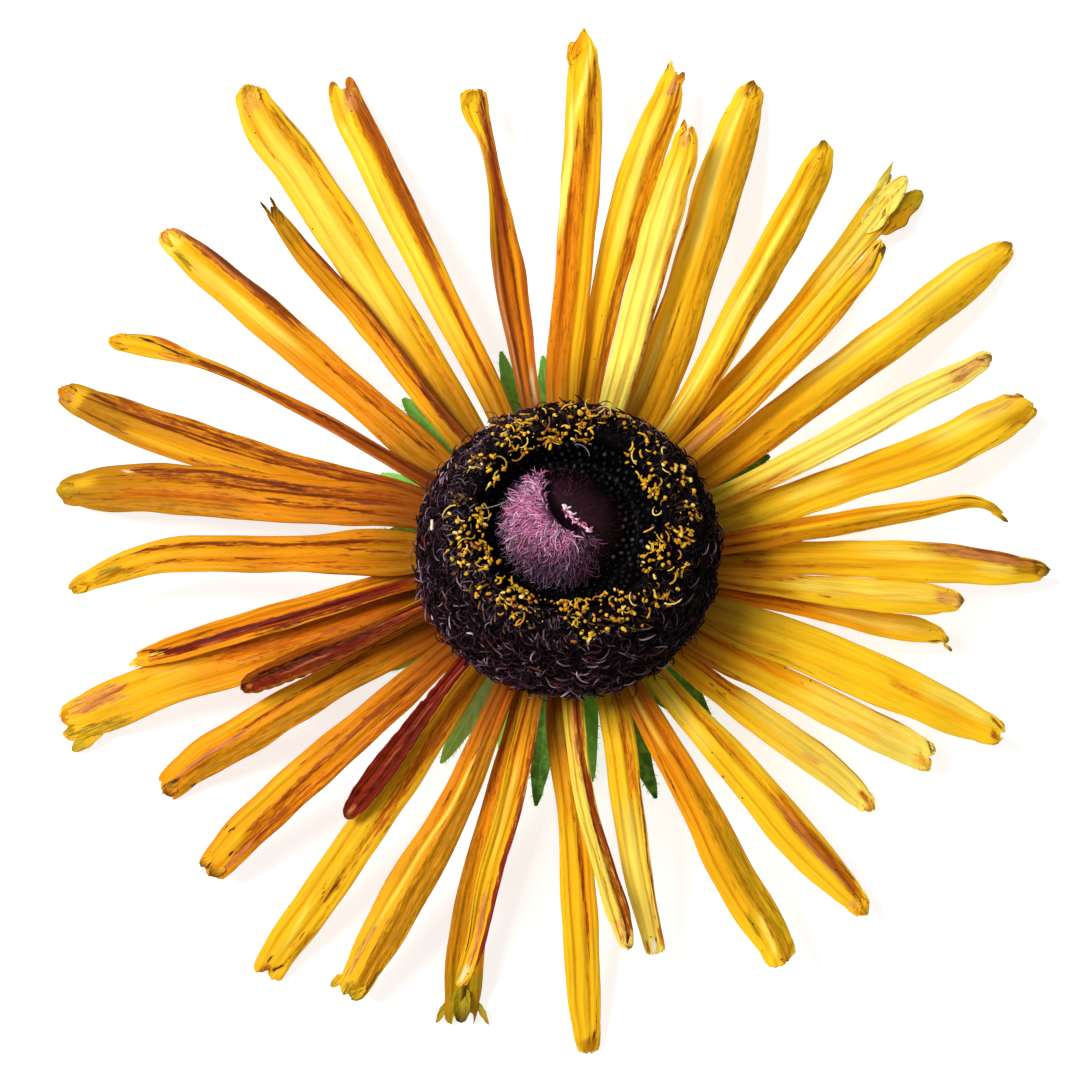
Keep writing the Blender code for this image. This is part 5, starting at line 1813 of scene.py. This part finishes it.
@dataclass
class SpentFlorets:
    """The dark outer ring of spent florets: a plum-black body under a thatch of curled threads.

    Args:
        finish: its finish.
        body: the body under the thatch.
        inset: how far the body stays inside the thatch.
        threads: number of threads.
        loops: number of longer curls at the rim.
        thread_tones: the threads' tones.
        loop_tones: the curls' tones.
        seed: seed of the random draws.
    """

    finish: TissueFinish = TissueFinish("spent_floret_thatch", Tone.BLACK, 0.15, 2.5, 0.5, 0.02,
                                        0.03)
    body: RingBody = RingBody(feet=(9.0, 6.9), grid=(64, 240), knobs=(40, 11, 0.22),
                              tone=(0.0010, 0.0005, 0.0007), peak=(0.0035, 0.0014, 0.0020))
    inset: float = 0.45
    threads: int = 5600
    loops: int = 110
    thread_tones: Palette = Palette(PLUMS, (0.40, 0.30, 0.15, 0.08, 0.04, 0.03))
    loop_tones: Palette = Palette(PLUMS, (0.3, 0.4, 0.2, 0.1, 0.1, 0.0))
    seed: int = 7400

    def build(self, effects: Effects) -> None:
        """Builds the ring.

        Args:
            effects: the shared shader effects.
        """
        rng = np.random.default_rng(self.seed)
        form = DiscForm(SPENT_LINE, self.inset)
        body = self.body.mesh(form, rng)
        count = self.threads
        s, turn, bearing = draws(rng, count, (0.0, form.length + 0.25), (0.0, math.tau),
                                 (0.0, math.tau))
        flat, up = form.lying(s, turn, bearing), form.outward(s, turn)
        aim = flat + up * rng.uniform(0.1, 0.9, (count, 1))
        side = (-up * rng.uniform(0.2, 1.0, (count, 1))
                + 0.8 * np.cross(up, flat) * rng.normal(0, 1, (count, 1)))
        colour = self.thread_tones.pick(rng, count)
        # Painted light and shade: threads on the ring's left, where the key light falls, are
        # painted paler than those on the right, and each thread is painted dark at its root, as
        # shade deep in the thatch, and light at its tip.
        painted_side_light = 0.18 + 0.85 * (1.0 - smoothstep(-0.75, 0.7, np.cos(turn - 0.35)))
        colour = colour * painted_side_light[:, None]
        threads = Strands(form.at(s, turn, rng.uniform(-0.05, 0.22, count)), aim, side,
                          *draws(rng, count, (0.6, 1.6), (0.6, 3.2), (0.043, 0.086)),
                          (0.9, 1.0, 1.0, 0.95, 0.5), colour * 0.35, sides=3, rough=0.12,
                          tip_colour=colour * 1.35)
        count = self.loops
        s, turn = draws(rng, count, (0.0, form.length), (0.0, math.tau))
        aim = (form.outward(s, turn) * 0.8 + form.around(turn) * rng.normal(0, 0.8, (count, 1))
               + form.climb(s, turn) * 0.4)
        colour = self.loop_tones.pick(rng, count)
        curls = Strands(form.at(s, turn, 0.1), aim, form.around(turn) * flips(rng, count),
                        *draws(rng, count, (1.2, 2.0), (2.0, 4.4), (0.03, 0.05)),
                        (1, 1, 1, 1, 1, 1, 0.8, 0.4), colour, sides=5)
        add_tissue("spent_floret_thatch", [body, threads.mesh(rng), curls.mesh(rng)],
                   self.finish.material(effects), "spent_floret_ring")


@dataclass
class PollenFlorets:
    """The ring of open florets: clumps of golden pollen on near-black tubes.

    Args:
        body_finish: finish of the dark body.
        gold_finish: finish of the pollen.
        body: the dark body.
        clumps: number of clumps.
        tubes: number of dark tubes between them.
        gold: the pollen's tones.
        dusk: the tubes' tones.
        seed: seed of the random draws.
    """

    body_finish: TissueFinish = TissueFinish("open_floret_tubes", Tone.BLACK, 0.1, 2.5, 0.55,
                                             0.02, 0.02)
    gold_finish: TissueFinish = TissueFinish("pollen_gold", Tone.OCHRE, 0.3, 2.2, 0.6, 0.03, 0.1)
    body: RingBody = RingBody(feet=(6.6, 5.2), grid=(36, 240), knobs=(56, 5, 0.2),
                              tone=(0.002, 0.001, 0.0015), peak=(0.005, 0.003, 0.004))
    clumps: int = 96
    tubes: int = 1500
    gold: Palette = Palette(((240, 186, 46), (222, 162, 36), (196, 132, 34), (250, 214, 110),
                             (160, 92, 30), (186, 164, 40)), (0.26, 0.28, 0.20, 0.10, 0.10, 0.06))
    dusk: Palette = Palette(((30, 20, 26), (60, 44, 52), (104, 84, 92), (128, 96, 44)),
                            (0.42, 0.32, 0.16, 0.10))
    seed: int = 7500

    def build(self, effects: Effects) -> None:
        """Builds the ring and its pollen.

        Args:
            effects: the shared shader effects.
        """
        rng = np.random.default_rng(self.seed)
        form = DiscForm(POLLEN_LINE)
        body = self.body.mesh(form, rng)
        count = self.tubes
        s, turn = draws(rng, count, (-0.3, form.length * 0.85), (0.0, math.tau))
        lean = (form.around(turn) * rng.normal(0, 0.5, (count, 1))
                + form.climb(s, turn) * rng.normal(-0.3, 0.5, (count, 1)))
        # Painted light and shade: the tubes on the ring's left, where the key light falls, are
        # painted paler than those on the right.
        painted_side_light = 0.35 + 0.7 * (1.0 - smoothstep(-0.75, 0.7, np.cos(turn - 0.45)))
        colour = self.dusk.pick(rng, count) * painted_side_light[:, None]
        tubes = Strands(form.at(s, turn, -0.1), form.outward(s, turn) + lean,
                        lean + 0.3 * form.around(turn),
                        *draws(rng, count, (0.5, 0.9), (0.2, 1.6), (0.05, 0.09)),
                        (1.0, 0.9, 0.8, 0.85, 0.4), colour, sides=5, rough=0.1)
        add_tissue("open_floret_ring", [body, tubes.mesh(rng)], self.body_finish.material(effects),
                   "pollen_floret_ring")
        add_tissue("pollen_clumps", self._pollen(form, rng), self.gold_finish.material(effects))

    def _pollen(self, form: DiscForm, rng: Generator) -> list[Mesh]:
        """The golden lumps, rods, curls and grains, gathered in clumps.

        Args:
            form: the ring's outline.
            rng: source of the draws.

        Returns:
            Meshes of each kind.
        """
        middle = 0.66 * form.length
        clump_turn = rng.uniform(0.0, math.tau, self.clumps)
        clump_s = np.clip(rng.normal(middle, 0.30 * form.length, self.clumps), 0.25, form.length)
        made = []
        kinds = (
            # count, spread round a clump's middle, length, turn, radius, profile
            (340, 0.42, (0.20, 0.46), (0.2, 1.6), (0.075, 0.135), (0.6, 1.0, 0.95, 1.0, 0.6)),
            (120, 0.50, (0.45, 0.85), (0.6, 2.6), (0.045, 0.075), (0.8, 1.0, 0.9, 1.0, 0.6)),
            (46, 0.60, (0.8, 1.5), (1.2, 3.6), (0.04, 0.06), (1.0, 1.0, 1.0, 1.0, 0.9, 0.9, 0.5)),
            (190, 0.75, (0.08, 0.16), (0.1, 0.2), (0.035, 0.06), (0.7, 1.0, 0.7)),
        )
        for count, spread, length, bend, radius, profile in kinds:
            chosen = rng.integers(0, self.clumps, count)
            turn = clump_turn[chosen] + rng.normal(0, spread, count) / 7.0
            s = np.clip(clump_s[chosen] + rng.normal(0, spread, count), 0.1, form.length + 0.15)
            flat = form.lying(s, turn, rng.uniform(0.0, math.tau, count))
            up = form.outward(s, turn)
            strands = Strands(form.at(s, turn, rng.uniform(0.15, 0.5, count)),
                              flat + up * rng.uniform(0.0, 0.8, (count, 1)),
                              np.cross(up, flat) * flips(rng, count) - 0.2 * up,
                              *draws(rng, count, length, bend, radius), profile,
                              self.gold.pick(rng, count), sides=6, rough=0.32)
            made.append(strands.mesh(rng))
        return made


@dataclass
class BudFlorets:
    """The black groove of unopened florets, set with tiny glossy buds in a spiral lattice.

    Args:
        finish: its finish.
        body: the groove's own body.
        spacing: distance between neighbours.
        lattice: first and last number of the spiral lattice's places.
        span: radii between which buds stand.
        tones: the buds' tones.
        seed: seed of the random draws.
    """

    finish: TissueFinish = TissueFinish("bud_floret_skin", Tone.BLACK, 0.1, 3.0, 0.5, 0.01, 0.04)
    body: RingBody = RingBody(feet=(4.9, 3.6), grid=(40, 216), knobs=(64, 7, 0.0),
                              tone=(0.0006, 0.0004, 0.0005), peak=(0.0006, 0.0004, 0.0005))
    spacing: float = 0.44
    lattice: tuple[int, int] = (60, 620)
    span: tuple[float, float] = (3.9, 6.1)
    tones: Palette = Palette(((40, 34, 42), (58, 50, 60), (88, 80, 94), (26, 20, 26)),
                             (0.35, 0.35, 0.12, 0.18))
    seed: int = 7600

    def build(self, effects: Effects) -> None:
        """Builds the groove and its buds.

        Args:
            effects: the shared shader effects.
        """
        rng = np.random.default_rng(self.seed)
        body = self.body.mesh(DiscForm(BUD_LINE), rng)
        whole = DiscForm(BUD_LINE + CENTRE_LINE)
        index = np.arange(*self.lattice)
        radius = self.spacing * 0.60 * np.sqrt(index)
        # Each bud is turned by the golden angle from the one before.
        turn = index * math.pi * (3.0 - math.sqrt(5.0))
        keep = (radius < self.span[1]) & (radius > self.span[0])
        turn, s = turn[keep], whole.reach(radius)[keep] + rng.normal(0, 0.03, keep.sum())
        count = len(s)
        # Painted light and shade: buds on the groove's left, in the shadow of its rim, are painted
        # darker than those on the right, and each bud is painted dark at its root and light at its
        # tip as a painted highlight.
        facing = smoothstep(-0.5, 0.7, np.cos(turn - 0.5))
        colour = self.tones.pick(rng, count) * (0.15 + 0.85 * facing)[:, None]
        lean = (whole.around(turn) * rng.normal(0, 0.25, (count, 1))
                + whole.climb(s, turn) * rng.normal(0, 0.4, (count, 1)))
        buds = Strands(whole.at(s, turn, -0.06), whole.outward(s, turn) + lean,
                       whole.climb(s, turn), rng.uniform(0.22, 0.36, count), np.full(count, 0.3),
                       rng.uniform(0.12, 0.17, count), (0.9, 1.0, 0.95, 0.5), colour * 0.15,
                       sides=7, rough=0.08, tip_colour=colour * rng.uniform(0.15, 0.95, (count, 1)))
        add_tissue("bud_floret_lattice", [body, buds.mesh(rng)], self.finish.material(effects),
                   "bud_floret_ring")


WOOL_DARK = Palette(((92, 58, 80), (58, 34, 48)), (1, 1))
WOOL_BRIGHT = Palette(((238, 156, 200), (210, 118, 166), (250, 200, 226), (200, 174, 206)),
                      (3, 4, 1.4, 0.8))
WOOL_SPARSE = Palette(((62, 24, 42), (96, 44, 70), (42, 18, 32)), (2, 1, 2))
WOOL_STRAGGLING = Palette(((128, 110, 132), (92, 68, 90), (176, 160, 182)), (3, 3, 1))
RUFFLE = Palette(((250, 226, 240), (232, 184, 212), (200, 92, 140), (170, 50, 96)),
                 (3, 3, 1.5, 1.5))


@dataclass
class CentreTuft:
    """The domed middle: mauve wool on its left, a dark cleft, and bare plum buds on its right.

    Args:
        finish: the dome's finish.
        wool_finish: the wool's finish.
        wool: number of woolly hairs.
        sparse: number of dark hairs on the right.
        stragglers: number of long hairs at the wool's lower left edge.
        scales: number of pale scales on the cleft's lip.
        cleft: corners of the cleft's line, in plan.
        cleft_depth: its depth.
        grid: the dome's grid rows and columns.
        foot: radius of the dome's foot.
        edge: radius within which hairs are tried.
        wool_edge: radius at which the dense wool ends.
        seed: seed of the random draws.
    """

    finish: TissueFinish = TissueFinish("centre_dome_skin", Tone.BLACK, 0.3, 1.5, 0.7, 0.03, 0.05)
    wool_finish: TissueFinish = TissueFinish("centre_wool", Tone.MAROON, 0.12, 1.0, 0.6, 0.02,
                                             0.12)
    wool: int = 1750
    sparse: int = 620
    stragglers: int = 240
    scales: int = 42
    cleft: tuple[tuple[float, float], ...] = (
        (-1.0, 3.1), (-0.95, 2.0), (-0.6, 0.95), (0.05, 0.12), (0.8, -0.58))
    cleft_depth: float = 0.8
    grid: tuple[int, int] = (70, 200)
    foot: float = 3.3
    edge: float = 4.2
    wool_edge: float = 3.75
    seed: int = 7700

    def _cleft_distance(self, x: Array, y: Array) -> tuple[Array, Array]:
        """Distance from the cleft's line in plan, and the side on which a point lies.

        Args:
            x: places in plan.
            y: places in plan.

        Returns:
            The distance, and its signed form: below 0 on the left.
        """
        ends = np.array(self.cleft)
        best = np.full(x.shape, 1e3)
        for (ax, ay), (bx, by) in zip(ends[:-1], ends[1:]):
            dx, dy = bx - ax, by - ay
            t = np.clip(((x - ax) * dx + (y - ay) * dy) / (dx * dx + dy * dy), 0.0, 1.0)
            best = np.minimum(best, np.hypot(x - ax - t * dx, y - ay - t * dy))
        line = np.interp(y, ends[::-1, 1], ends[::-1, 0])
        return best, np.where(x < line, -best, best)

    def build(self, effects: Effects) -> None:
        """Builds the dome, its wool and the pale ruffle on the cleft's lip.

        Args:
            effects: the shared shader effects.
        """
        rng = np.random.default_rng(self.seed)
        form = DiscForm(CENTRE_LINE)
        add_tissue("centre_dome", [self._dome(form)], self.finish.material(effects),
                   "centre_tuft")
        wool_material = self.wool_finish.material(effects)
        add_tissue("centre_wool", self._wool(form, rng), wool_material)
        add_tissue("centre_ruffle", [self._ruffle(form, rng)], wool_material)

    def _dome(self, form: DiscForm) -> Mesh:
        """The dome under the wool, with the cleft sunk into it.

        Args:
            form: the dome's outline.

        Returns:
            The points, faces and colours.
        """
        rows, columns = self.grid
        s, turn = np.linspace(0.0, form.length, rows)[:, None], full_turn(columns)[None, :]
        wall = self._sunk(form.at(s + 0.0 * turn, turn + 0.0 * s))
        grid = np.concatenate([foot_ring(self.foot, 0.0, turn[0]), wall])
        points = np.concatenate([grid.reshape(-1, 3), [[0, 0, FOOT], wall[-1].mean(axis=0)]])
        x, y = points[:, 0], points[:, 1]
        away, signed = self._cleft_distance(x, y)
        left = 1.0 - smoothstep(-0.4, 0.5, signed)
        pale = (np.array([0.11, 0.026, 0.075]) * left[:, None]
                + np.array([0.020, 0.006, 0.010]) * (1 - left)[:, None])
        rightwards = (x - y) / np.hypot(x, y).clip(0.1)
        radius = np.hypot(x, y / Y_SCALE) - 0.7 * smoothstep(-0.2, 0.8, rightwards)
        pale = pale * (1.0 - 0.93 * smoothstep(1.6, 3.5, radius))[:, None]
        # Painted shade: the dome is painted darker in and beside the sunk cleft.
        tone = pale * (0.12 + 0.88 * smoothstep(0.12, 0.5, away))[:, None]
        return points, [grid_quads(rows + 1, columns, True), *end_fans(rows + 1, columns)], tone

    def _sunk(self, points: Array) -> Array:
        """Points of the dome, lowered into the cleft by its depth times a bell curve across it."""
        away, _ = self._cleft_distance(points[..., 0], points[..., 1])
        lowered = points.copy()
        lowered[..., 2] -= self.cleft_depth * np.exp(-(away / 0.30) ** 2)
        return lowered

    def _wool(self, form: DiscForm, rng: Generator) -> list[Mesh]:
        """The wool: dense on the left of the cleft, sparse and dark on the right.

        Args:
            form: the dome's outline.
            rng: source of the draws.

        Returns:
            Meshes of the dense wool, the sparse wool and the stragglers.
        """
        made = []
        for count, dense in ((self.wool, True), (self.sparse, False)):
            x, y, radius, turn = self._places(count, dense, rng)
            count = len(radius)
            s = form.reach(radius)
            up = form.outward(s, turn)
            from_cleft = np.stack([x + 0.2, y - 0.8, 0.0 * x], axis=-1)
            flow = unit(from_cleft) + rng.normal(0, 0.22, (count, 3)) * np.array([1, 1, 0])
            flow = flow - up * np.sum(flow * up, axis=1, keepdims=True)
            sideways = np.cross(up, unit(flow)) * flips(rng, count)
            root = self._sunk(form.at(s, turn, -0.03))
            if dense:
                # Painted light: the wool is brightest at the top left of the dome, where the key
                # light falls; each hair is also painted darker at its root, as shade among the
                # hairs, and lighter at its tip.
                lit = smoothstep(0.0, 1.0, 1.0 - 0.16 * radius + 0.24 * (y + 0.4)
                                 - 0.25 * np.clip(x, 0, 3) + rng.normal(0, 0.25, count))
                dark, bright = WOOL_DARK.pick(rng, count), WOOL_BRIGHT.pick(rng, count)
                colour = dark + (bright - dark) * lit[:, None]
                strands = Strands(root, flow + up * rng.uniform(0.1, 0.4, (count, 1)),
                                  sideways - 0.4 * up,
                                  *draws(rng, count, (0.6, 1.3), (0.3, 2.4), (0.03, 0.056)),
                                  (1, 1, 1, 0.9, 0.75, 0.4), colour * 0.4,
                                  rng.uniform(-0.12, 0.12, count), tip_colour=colour * 1.2)
            else:
                dimmer = 1.4 - 1.3 * smoothstep(0.3, 3.2, radius + 0.6 * (x - y))
                colour = WOOL_SPARSE.pick(rng, count) * dimmer[:, None]
                strands = Strands(root, flow + up * rng.uniform(0.2, 0.9, (count, 1)), sideways,
                                  *draws(rng, count, (0.2, 0.5), (0.2, 1.5), (0.015, 0.028)),
                                  (1, 1, 0.8, 0.4), colour, sides=4)
            made.append(strands.mesh(rng))
        return [*made, self._straggling(form, rng)]

    def _places(self, count: int, dense: bool, rng: Generator) -> tuple[Array, ...]:
        """Places of hairs in plan: drawn all over the dome, and kept where this kind grows.

        Args:
            count: the most hairs that are kept.
            dense: whether they are the dense wool's.
            rng: source of the draws.

        Returns:
            Their x and y, and the radius and the turn of each.
        """
        tries = count * 4
        radius = self.edge * np.sqrt(rng.uniform(0, 1, tries))
        turn = rng.uniform(0.0, math.tau, tries)
        x, y = radius * np.cos(turn), radius * np.sin(turn) * Y_SCALE
        away, signed = self._cleft_distance(x, y)
        inside = radius < (self.wool_edge + 0.3 * Wander(rng, 2.0, 6.0)(turn / math.tau)
                           - 0.3 * smoothstep(0.3, 1.0, -np.cos(turn)))
        if dense:
            keep = (signed < -0.12 - 0.14 * (y < 1.0)) & inside & (x < 0.3 - 0.42 * y)
            # Below the cleft the wool thins out towards the right.
            thinning = rng.uniform(0, 1, tries) < 1.0 - smoothstep(0.3, 2.6, x)
            keep |= (away > 0.2) & inside & (y < -0.45 - 0.5 * np.abs(x - 0.9)) & thinning
        else:
            keep = (signed > 0.25) & (radius < 4.15)
        picked = np.flatnonzero(keep)[:count]
        return x[picked], y[picked], radius[picked], turn[picked]

    def _straggling(self, form: DiscForm, rng: Generator) -> Mesh:
        """Longer pale hairs that reach out from the wool's lower left over the black buds.

        Args:
            form: the dome's outline.
            rng: source of the draws.

        Returns:
            The points, faces and colours.
        """
        count = self.stragglers
        lower_left = math.radians(120.0), math.radians(285.0)
        turn, radius = draws(rng, count, lower_left, (3.0, self.edge))
        s = form.reach(radius)
        up = form.outward(s, turn)
        colour = WOOL_STRAGGLING.pick(rng, count)
        strands = Strands(form.at(s, turn, 0.0),
                          -form.climb(s, turn) + up * rng.uniform(0.3, 0.8, (count, 1)),
                          form.around(turn) * flips(rng, count) - 0.4 * up,
                          *draws(rng, count, (0.5, 1.2), (0.3, 2.0), (0.022, 0.042)),
                          (1, 1, 1, 0.9, 0.7, 0.4), colour * 0.5, sides=4, tip_colour=colour)
        return strands.mesh(rng)

    def _ruffle(self, form: DiscForm, rng: Generator) -> Mesh:
        """Pale curled scales along the right lip of the cleft's lower end.

        Args:
            form: the dome's outline.
            rng: source of the draws.

        Returns:
            The points, faces and colours.
        """
        count = self.scales
        t = np.sort(rng.uniform(0, 1, count))
        x = np.interp(t, [0, 0.45, 1], [-0.15, 0.7, 1.75]) + rng.normal(0, 0.09, count)
        y = np.interp(t, [0, 0.45, 1], [1.25, 0.3, -0.75]) + rng.normal(0, 0.09, count)
        radius, turn = np.hypot(x, y / Y_SCALE), np.arctan2(y / Y_SCALE, x)
        s = form.reach(radius)
        up, along = form.outward(s, turn), np.array([0.7, -0.7, 0.0])
        aim = (up * 0.7
               + np.array([0.6, 0.4, 0.0]) * rng.normal(0.2, 0.5, (count, 1))
               + along * rng.normal(0, 0.4, (count, 1)))
        colour = RUFFLE.pick(rng, count)
        scales = Strands(form.at(s, turn, 0.02), aim, np.cross(up, aim) + along,
                         *draws(rng, count, (0.3, 0.6), (0.8, 2.6), (0.05, 0.09)),
                         (1, 1.1, 1.1, 0.9, 0.5), colour, sides=6, rough=0.1)
        return scales.mesh(rng)


@dataclass(frozen=True)
class Stray:
    """One loose thread: start and finish in plan, height over the disc, bow, radius and tone."""

    start: tuple[float, float]
    finish: tuple[float, float]
    height: tuple[float, float]
    bow: float
    radius: float
    tone: tuple[float, float, float]


STRAYS = (
    Stray((-5.65, 0.65), (-3.45, 1.5), (18.9, 18.2), 0.15, 0.035, (150, 140, 140)),
    Stray((0.85, 5.2), (1.85, 4.5), (18.6, 18.2), -0.3, 0.035, (140, 134, 150)),
    Stray((1.8, 7.3), (2.9, 7.7), (18.6, 18.4), 0.5, 0.045, (170, 140, 110)),
    Stray((2.4, 7.8), (3.2, 7.1), (18.3, 18.7), -0.5, 0.045, (196, 170, 130)),
    Stray((4.6, 7.2), (5.5, 7.0), (17.7, 17.9), 0.4, 0.045, (150, 120, 110)),
    Stray((6.4, 6.4), (7.1, 5.9), (17.3, 17.0), 0.45, 0.045, (150, 110, 90)),
    Stray((8.0, 1.3), (9.1, 0.7), (18.2, 17.6), 0.55, 0.05, (210, 190, 140)),
    Stray((-8.75, -0.3), (-8.72, 0.4), (16.9, 17.1), 0.02, 0.11, (232, 220, 186)),
    Stray((-5.0, 6.9), (-4.9, 7.1), (17.2, 17.3), 0.0, 0.10, (255, 255, 250)),
    Stray((-4.3, 7.5), (-5.2, 8.2), (16.7, 16.0), 0.3, 0.035, (70, 30, 20)),
    Stray((-2.2, -7.2), (-3.1, -7.6), (17.4, 17.0), 0.2, 0.04, (150, 130, 140)),
    Stray((3.6, -6.1), (3.3, -7.6), (18.3, 17.0), 0.35, 0.04, (150, 140, 150)),
    Stray((2.9, -6.4), (3.9, -8.0), (18.2, 16.6), -0.2, 0.04, (160, 140, 120)),
    Stray((4.3, -7.3), (3.0, -7.0), (17.4, 17.8), 0.2, 0.035, (130, 120, 130)),
)


@dataclass
class StrayThreads:
    """Single loose threads and chips that lie on the disc.

    Args:
        strays: every thread.
        finish: their finish.
        seed: seed of the random draws.
    """

    strays: tuple[Stray, ...] = STRAYS
    finish: TissueFinish = TissueFinish("stray_thread", Tone.BROWN, 0.2, 1.5, 0.5, 0.02, 0.45)
    seed: int = 7800

    def build(self, effects: Effects) -> None:
        """Builds the threads.

        Args:
            effects: the shared shader effects.
        """
        rng = np.random.default_rng(self.seed)
        start = np.array([(*s.start, s.height[0]) for s in self.strays])
        finish = np.array([(*s.finish, s.height[1]) for s in self.strays])
        chord = finish - start
        size = np.linalg.norm(chord, axis=1)
        bow = np.array([s.bow for s in self.strays])
        # A circular arc with rise b over a chord c turns by 4 atan(2 b / c).
        turn = np.maximum(4.0 * np.arctan2(2.0 * np.abs(bow), size), 0.02)
        arc = size * turn / (2.0 * np.sin(turn / 2.0))
        to_side = np.where(bow < 0, 1.0, -1.0)[:, None]
        ahead = unit(chord)
        lateral = unit(np.cross(np.array([0.0, 0.0, 1.0]), chord) * to_side)
        half = (turn / 2.0)[:, None]
        aim = ahead * np.cos(half) + lateral * np.sin(half)
        side = ahead * np.sin(half) - lateral * np.cos(half)
        # One draw for each thread.
        colour = np.concatenate([Palette((s.tone,), (1.0,)).pick(rng, 1) for s in self.strays])
        radius = np.array([s.radius for s in self.strays])
        threads = Strands(start, aim, side, arc, turn, radius,
                          (0.7, 1, 1, 1, 1, 1, 1, 1, 0.9, 0.6), colour, sides=6, rough=0.08)
        add_tissue("stray_threads", [threads.mesh(rng)], self.finish.material(effects))


# ---------------------------------------------------------------- studio

@dataclass
class Studio:
    """Pale floor, soft light from the left and a camera high over the flower.

    Args:
        target: point that the camera looks at, in millimetres.
        distance: distance of the camera.
        elevation: height of the camera over the horizon, in degrees.
        lens: focal length on a 36 mm sensor.
        ambient: brightness of the sky.
        key: power of the key light, in watts.
        key_towards: direction of the key light from the target.
        key_distance: its distance.
        key_size: its width.
        floor: half the floor's width, in metres.
    """

    target: tuple[float, float, float] = (-0.65, -1.605, 5.0)
    distance: float = 300.0
    elevation: float = 75.0
    lens: float = 142.86
    ambient: float = 0.46
    key: float = 9.6
    key_towards: tuple[float, float, float] = (-0.85, 0.15, 1.25)
    key_distance: float = 1000.0
    key_size: float = 420.0
    floor: float = 1.5

    def build(self) -> None:
        """Builds the floor, the light and the camera."""
        self._floor()
        scene = bpy.context.scene
        world = bpy.data.worlds.new("studio_sky")
        world.use_nodes = True
        sky = world.node_tree.nodes["Background"]
        sky.inputs["Color"].default_value = (1.0, 1.0, 1.0, 1.0)
        sky.inputs["Strength"].default_value = self.ambient
        scene.world = world
        scene.view_settings.view_transform = "Standard"
        towards = unit(np.array(self.key_towards))
        light = bpy.data.lights.new("key_softbox", "AREA")
        light.shape = "SQUARE"
        light.size = self.key_size * MM
        light.energy = self.key
        lamp = bpy.data.objects.new("key_softbox", light)
        place = (np.array(self.target) + towards * self.key_distance) * MM
        lamp.location = place.tolist()
        flat = math.hypot(towards[0], towards[1])
        lamp.rotation_euler = (math.atan2(flat, towards[2]), 0.0,
                               math.atan2(towards[1], towards[0]) + math.pi / 2.0)
        scene.collection.objects.link(lamp)
        lens = bpy.data.cameras.new("camera")
        lens.lens = self.lens
        lens.clip_start = 0.01
        camera = bpy.data.objects.new("camera", lens)
        angle = math.radians(self.elevation)
        back = np.array([0.0, -math.cos(angle), math.sin(angle)]) * self.distance
        camera.location = ((np.array(self.target) + back) * MM).tolist()
        camera.rotation_euler = (math.pi / 2.0 - angle, 0.0, 0.0)
        scene.collection.objects.link(camera)
        scene.camera = camera

    def _floor(self) -> None:
        """Builds the floor, a wide pale sheet just under the flower."""
        half = self.floor
        mesh = bpy.data.meshes.new("studio_floor")
        mesh.from_pydata([(-half, -half, 0), (half, -half, 0), (half, half, 0), (-half, half, 0)],
                         [], [(0, 1, 2, 3)])
        made, tree, shader = new_material("studio_paper")
        grain = node(tree, "ShaderNodeTexNoise", Scale=1500.0, Detail=3.0,
                     Vector=node(tree, "ShaderNodeTexCoord").outputs["Object"])
        bump_from(tree, shader, grain.outputs["Fac"], 0.01, 0.1)
        shader.inputs["Base Color"].default_value = (0.5, 0.5, 0.5, 1.0)
        shader.inputs["Roughness"].default_value = 0.9
        shader.inputs["Specular IOR Level"].default_value = 0.1
        shader.inputs["Emission Color"].default_value = (1.0, 1.0, 1.0, 1.0)
        shader.inputs["Emission Strength"].default_value = 0.72
        mesh.materials.append(made)
        floor = bpy.data.objects.new("studio_floor", mesh)
        bpy.context.scene.collection.objects.link(floor)


def main() -> None:
    """Builds the flower and the studio, and reports each piece."""
    logging.basicConfig(level=logging.INFO, format="%(message)s")
    effects = Effects()
    for part in (RayFlorets(), Bracts(), Receptacle(), SpentFlorets(), PollenFlorets(),
                 BudFlorets(), CentreTuft(), StrayThreads()):
        part.build(effects)
    Studio().build()


if __name__ == "__main__":
    main()
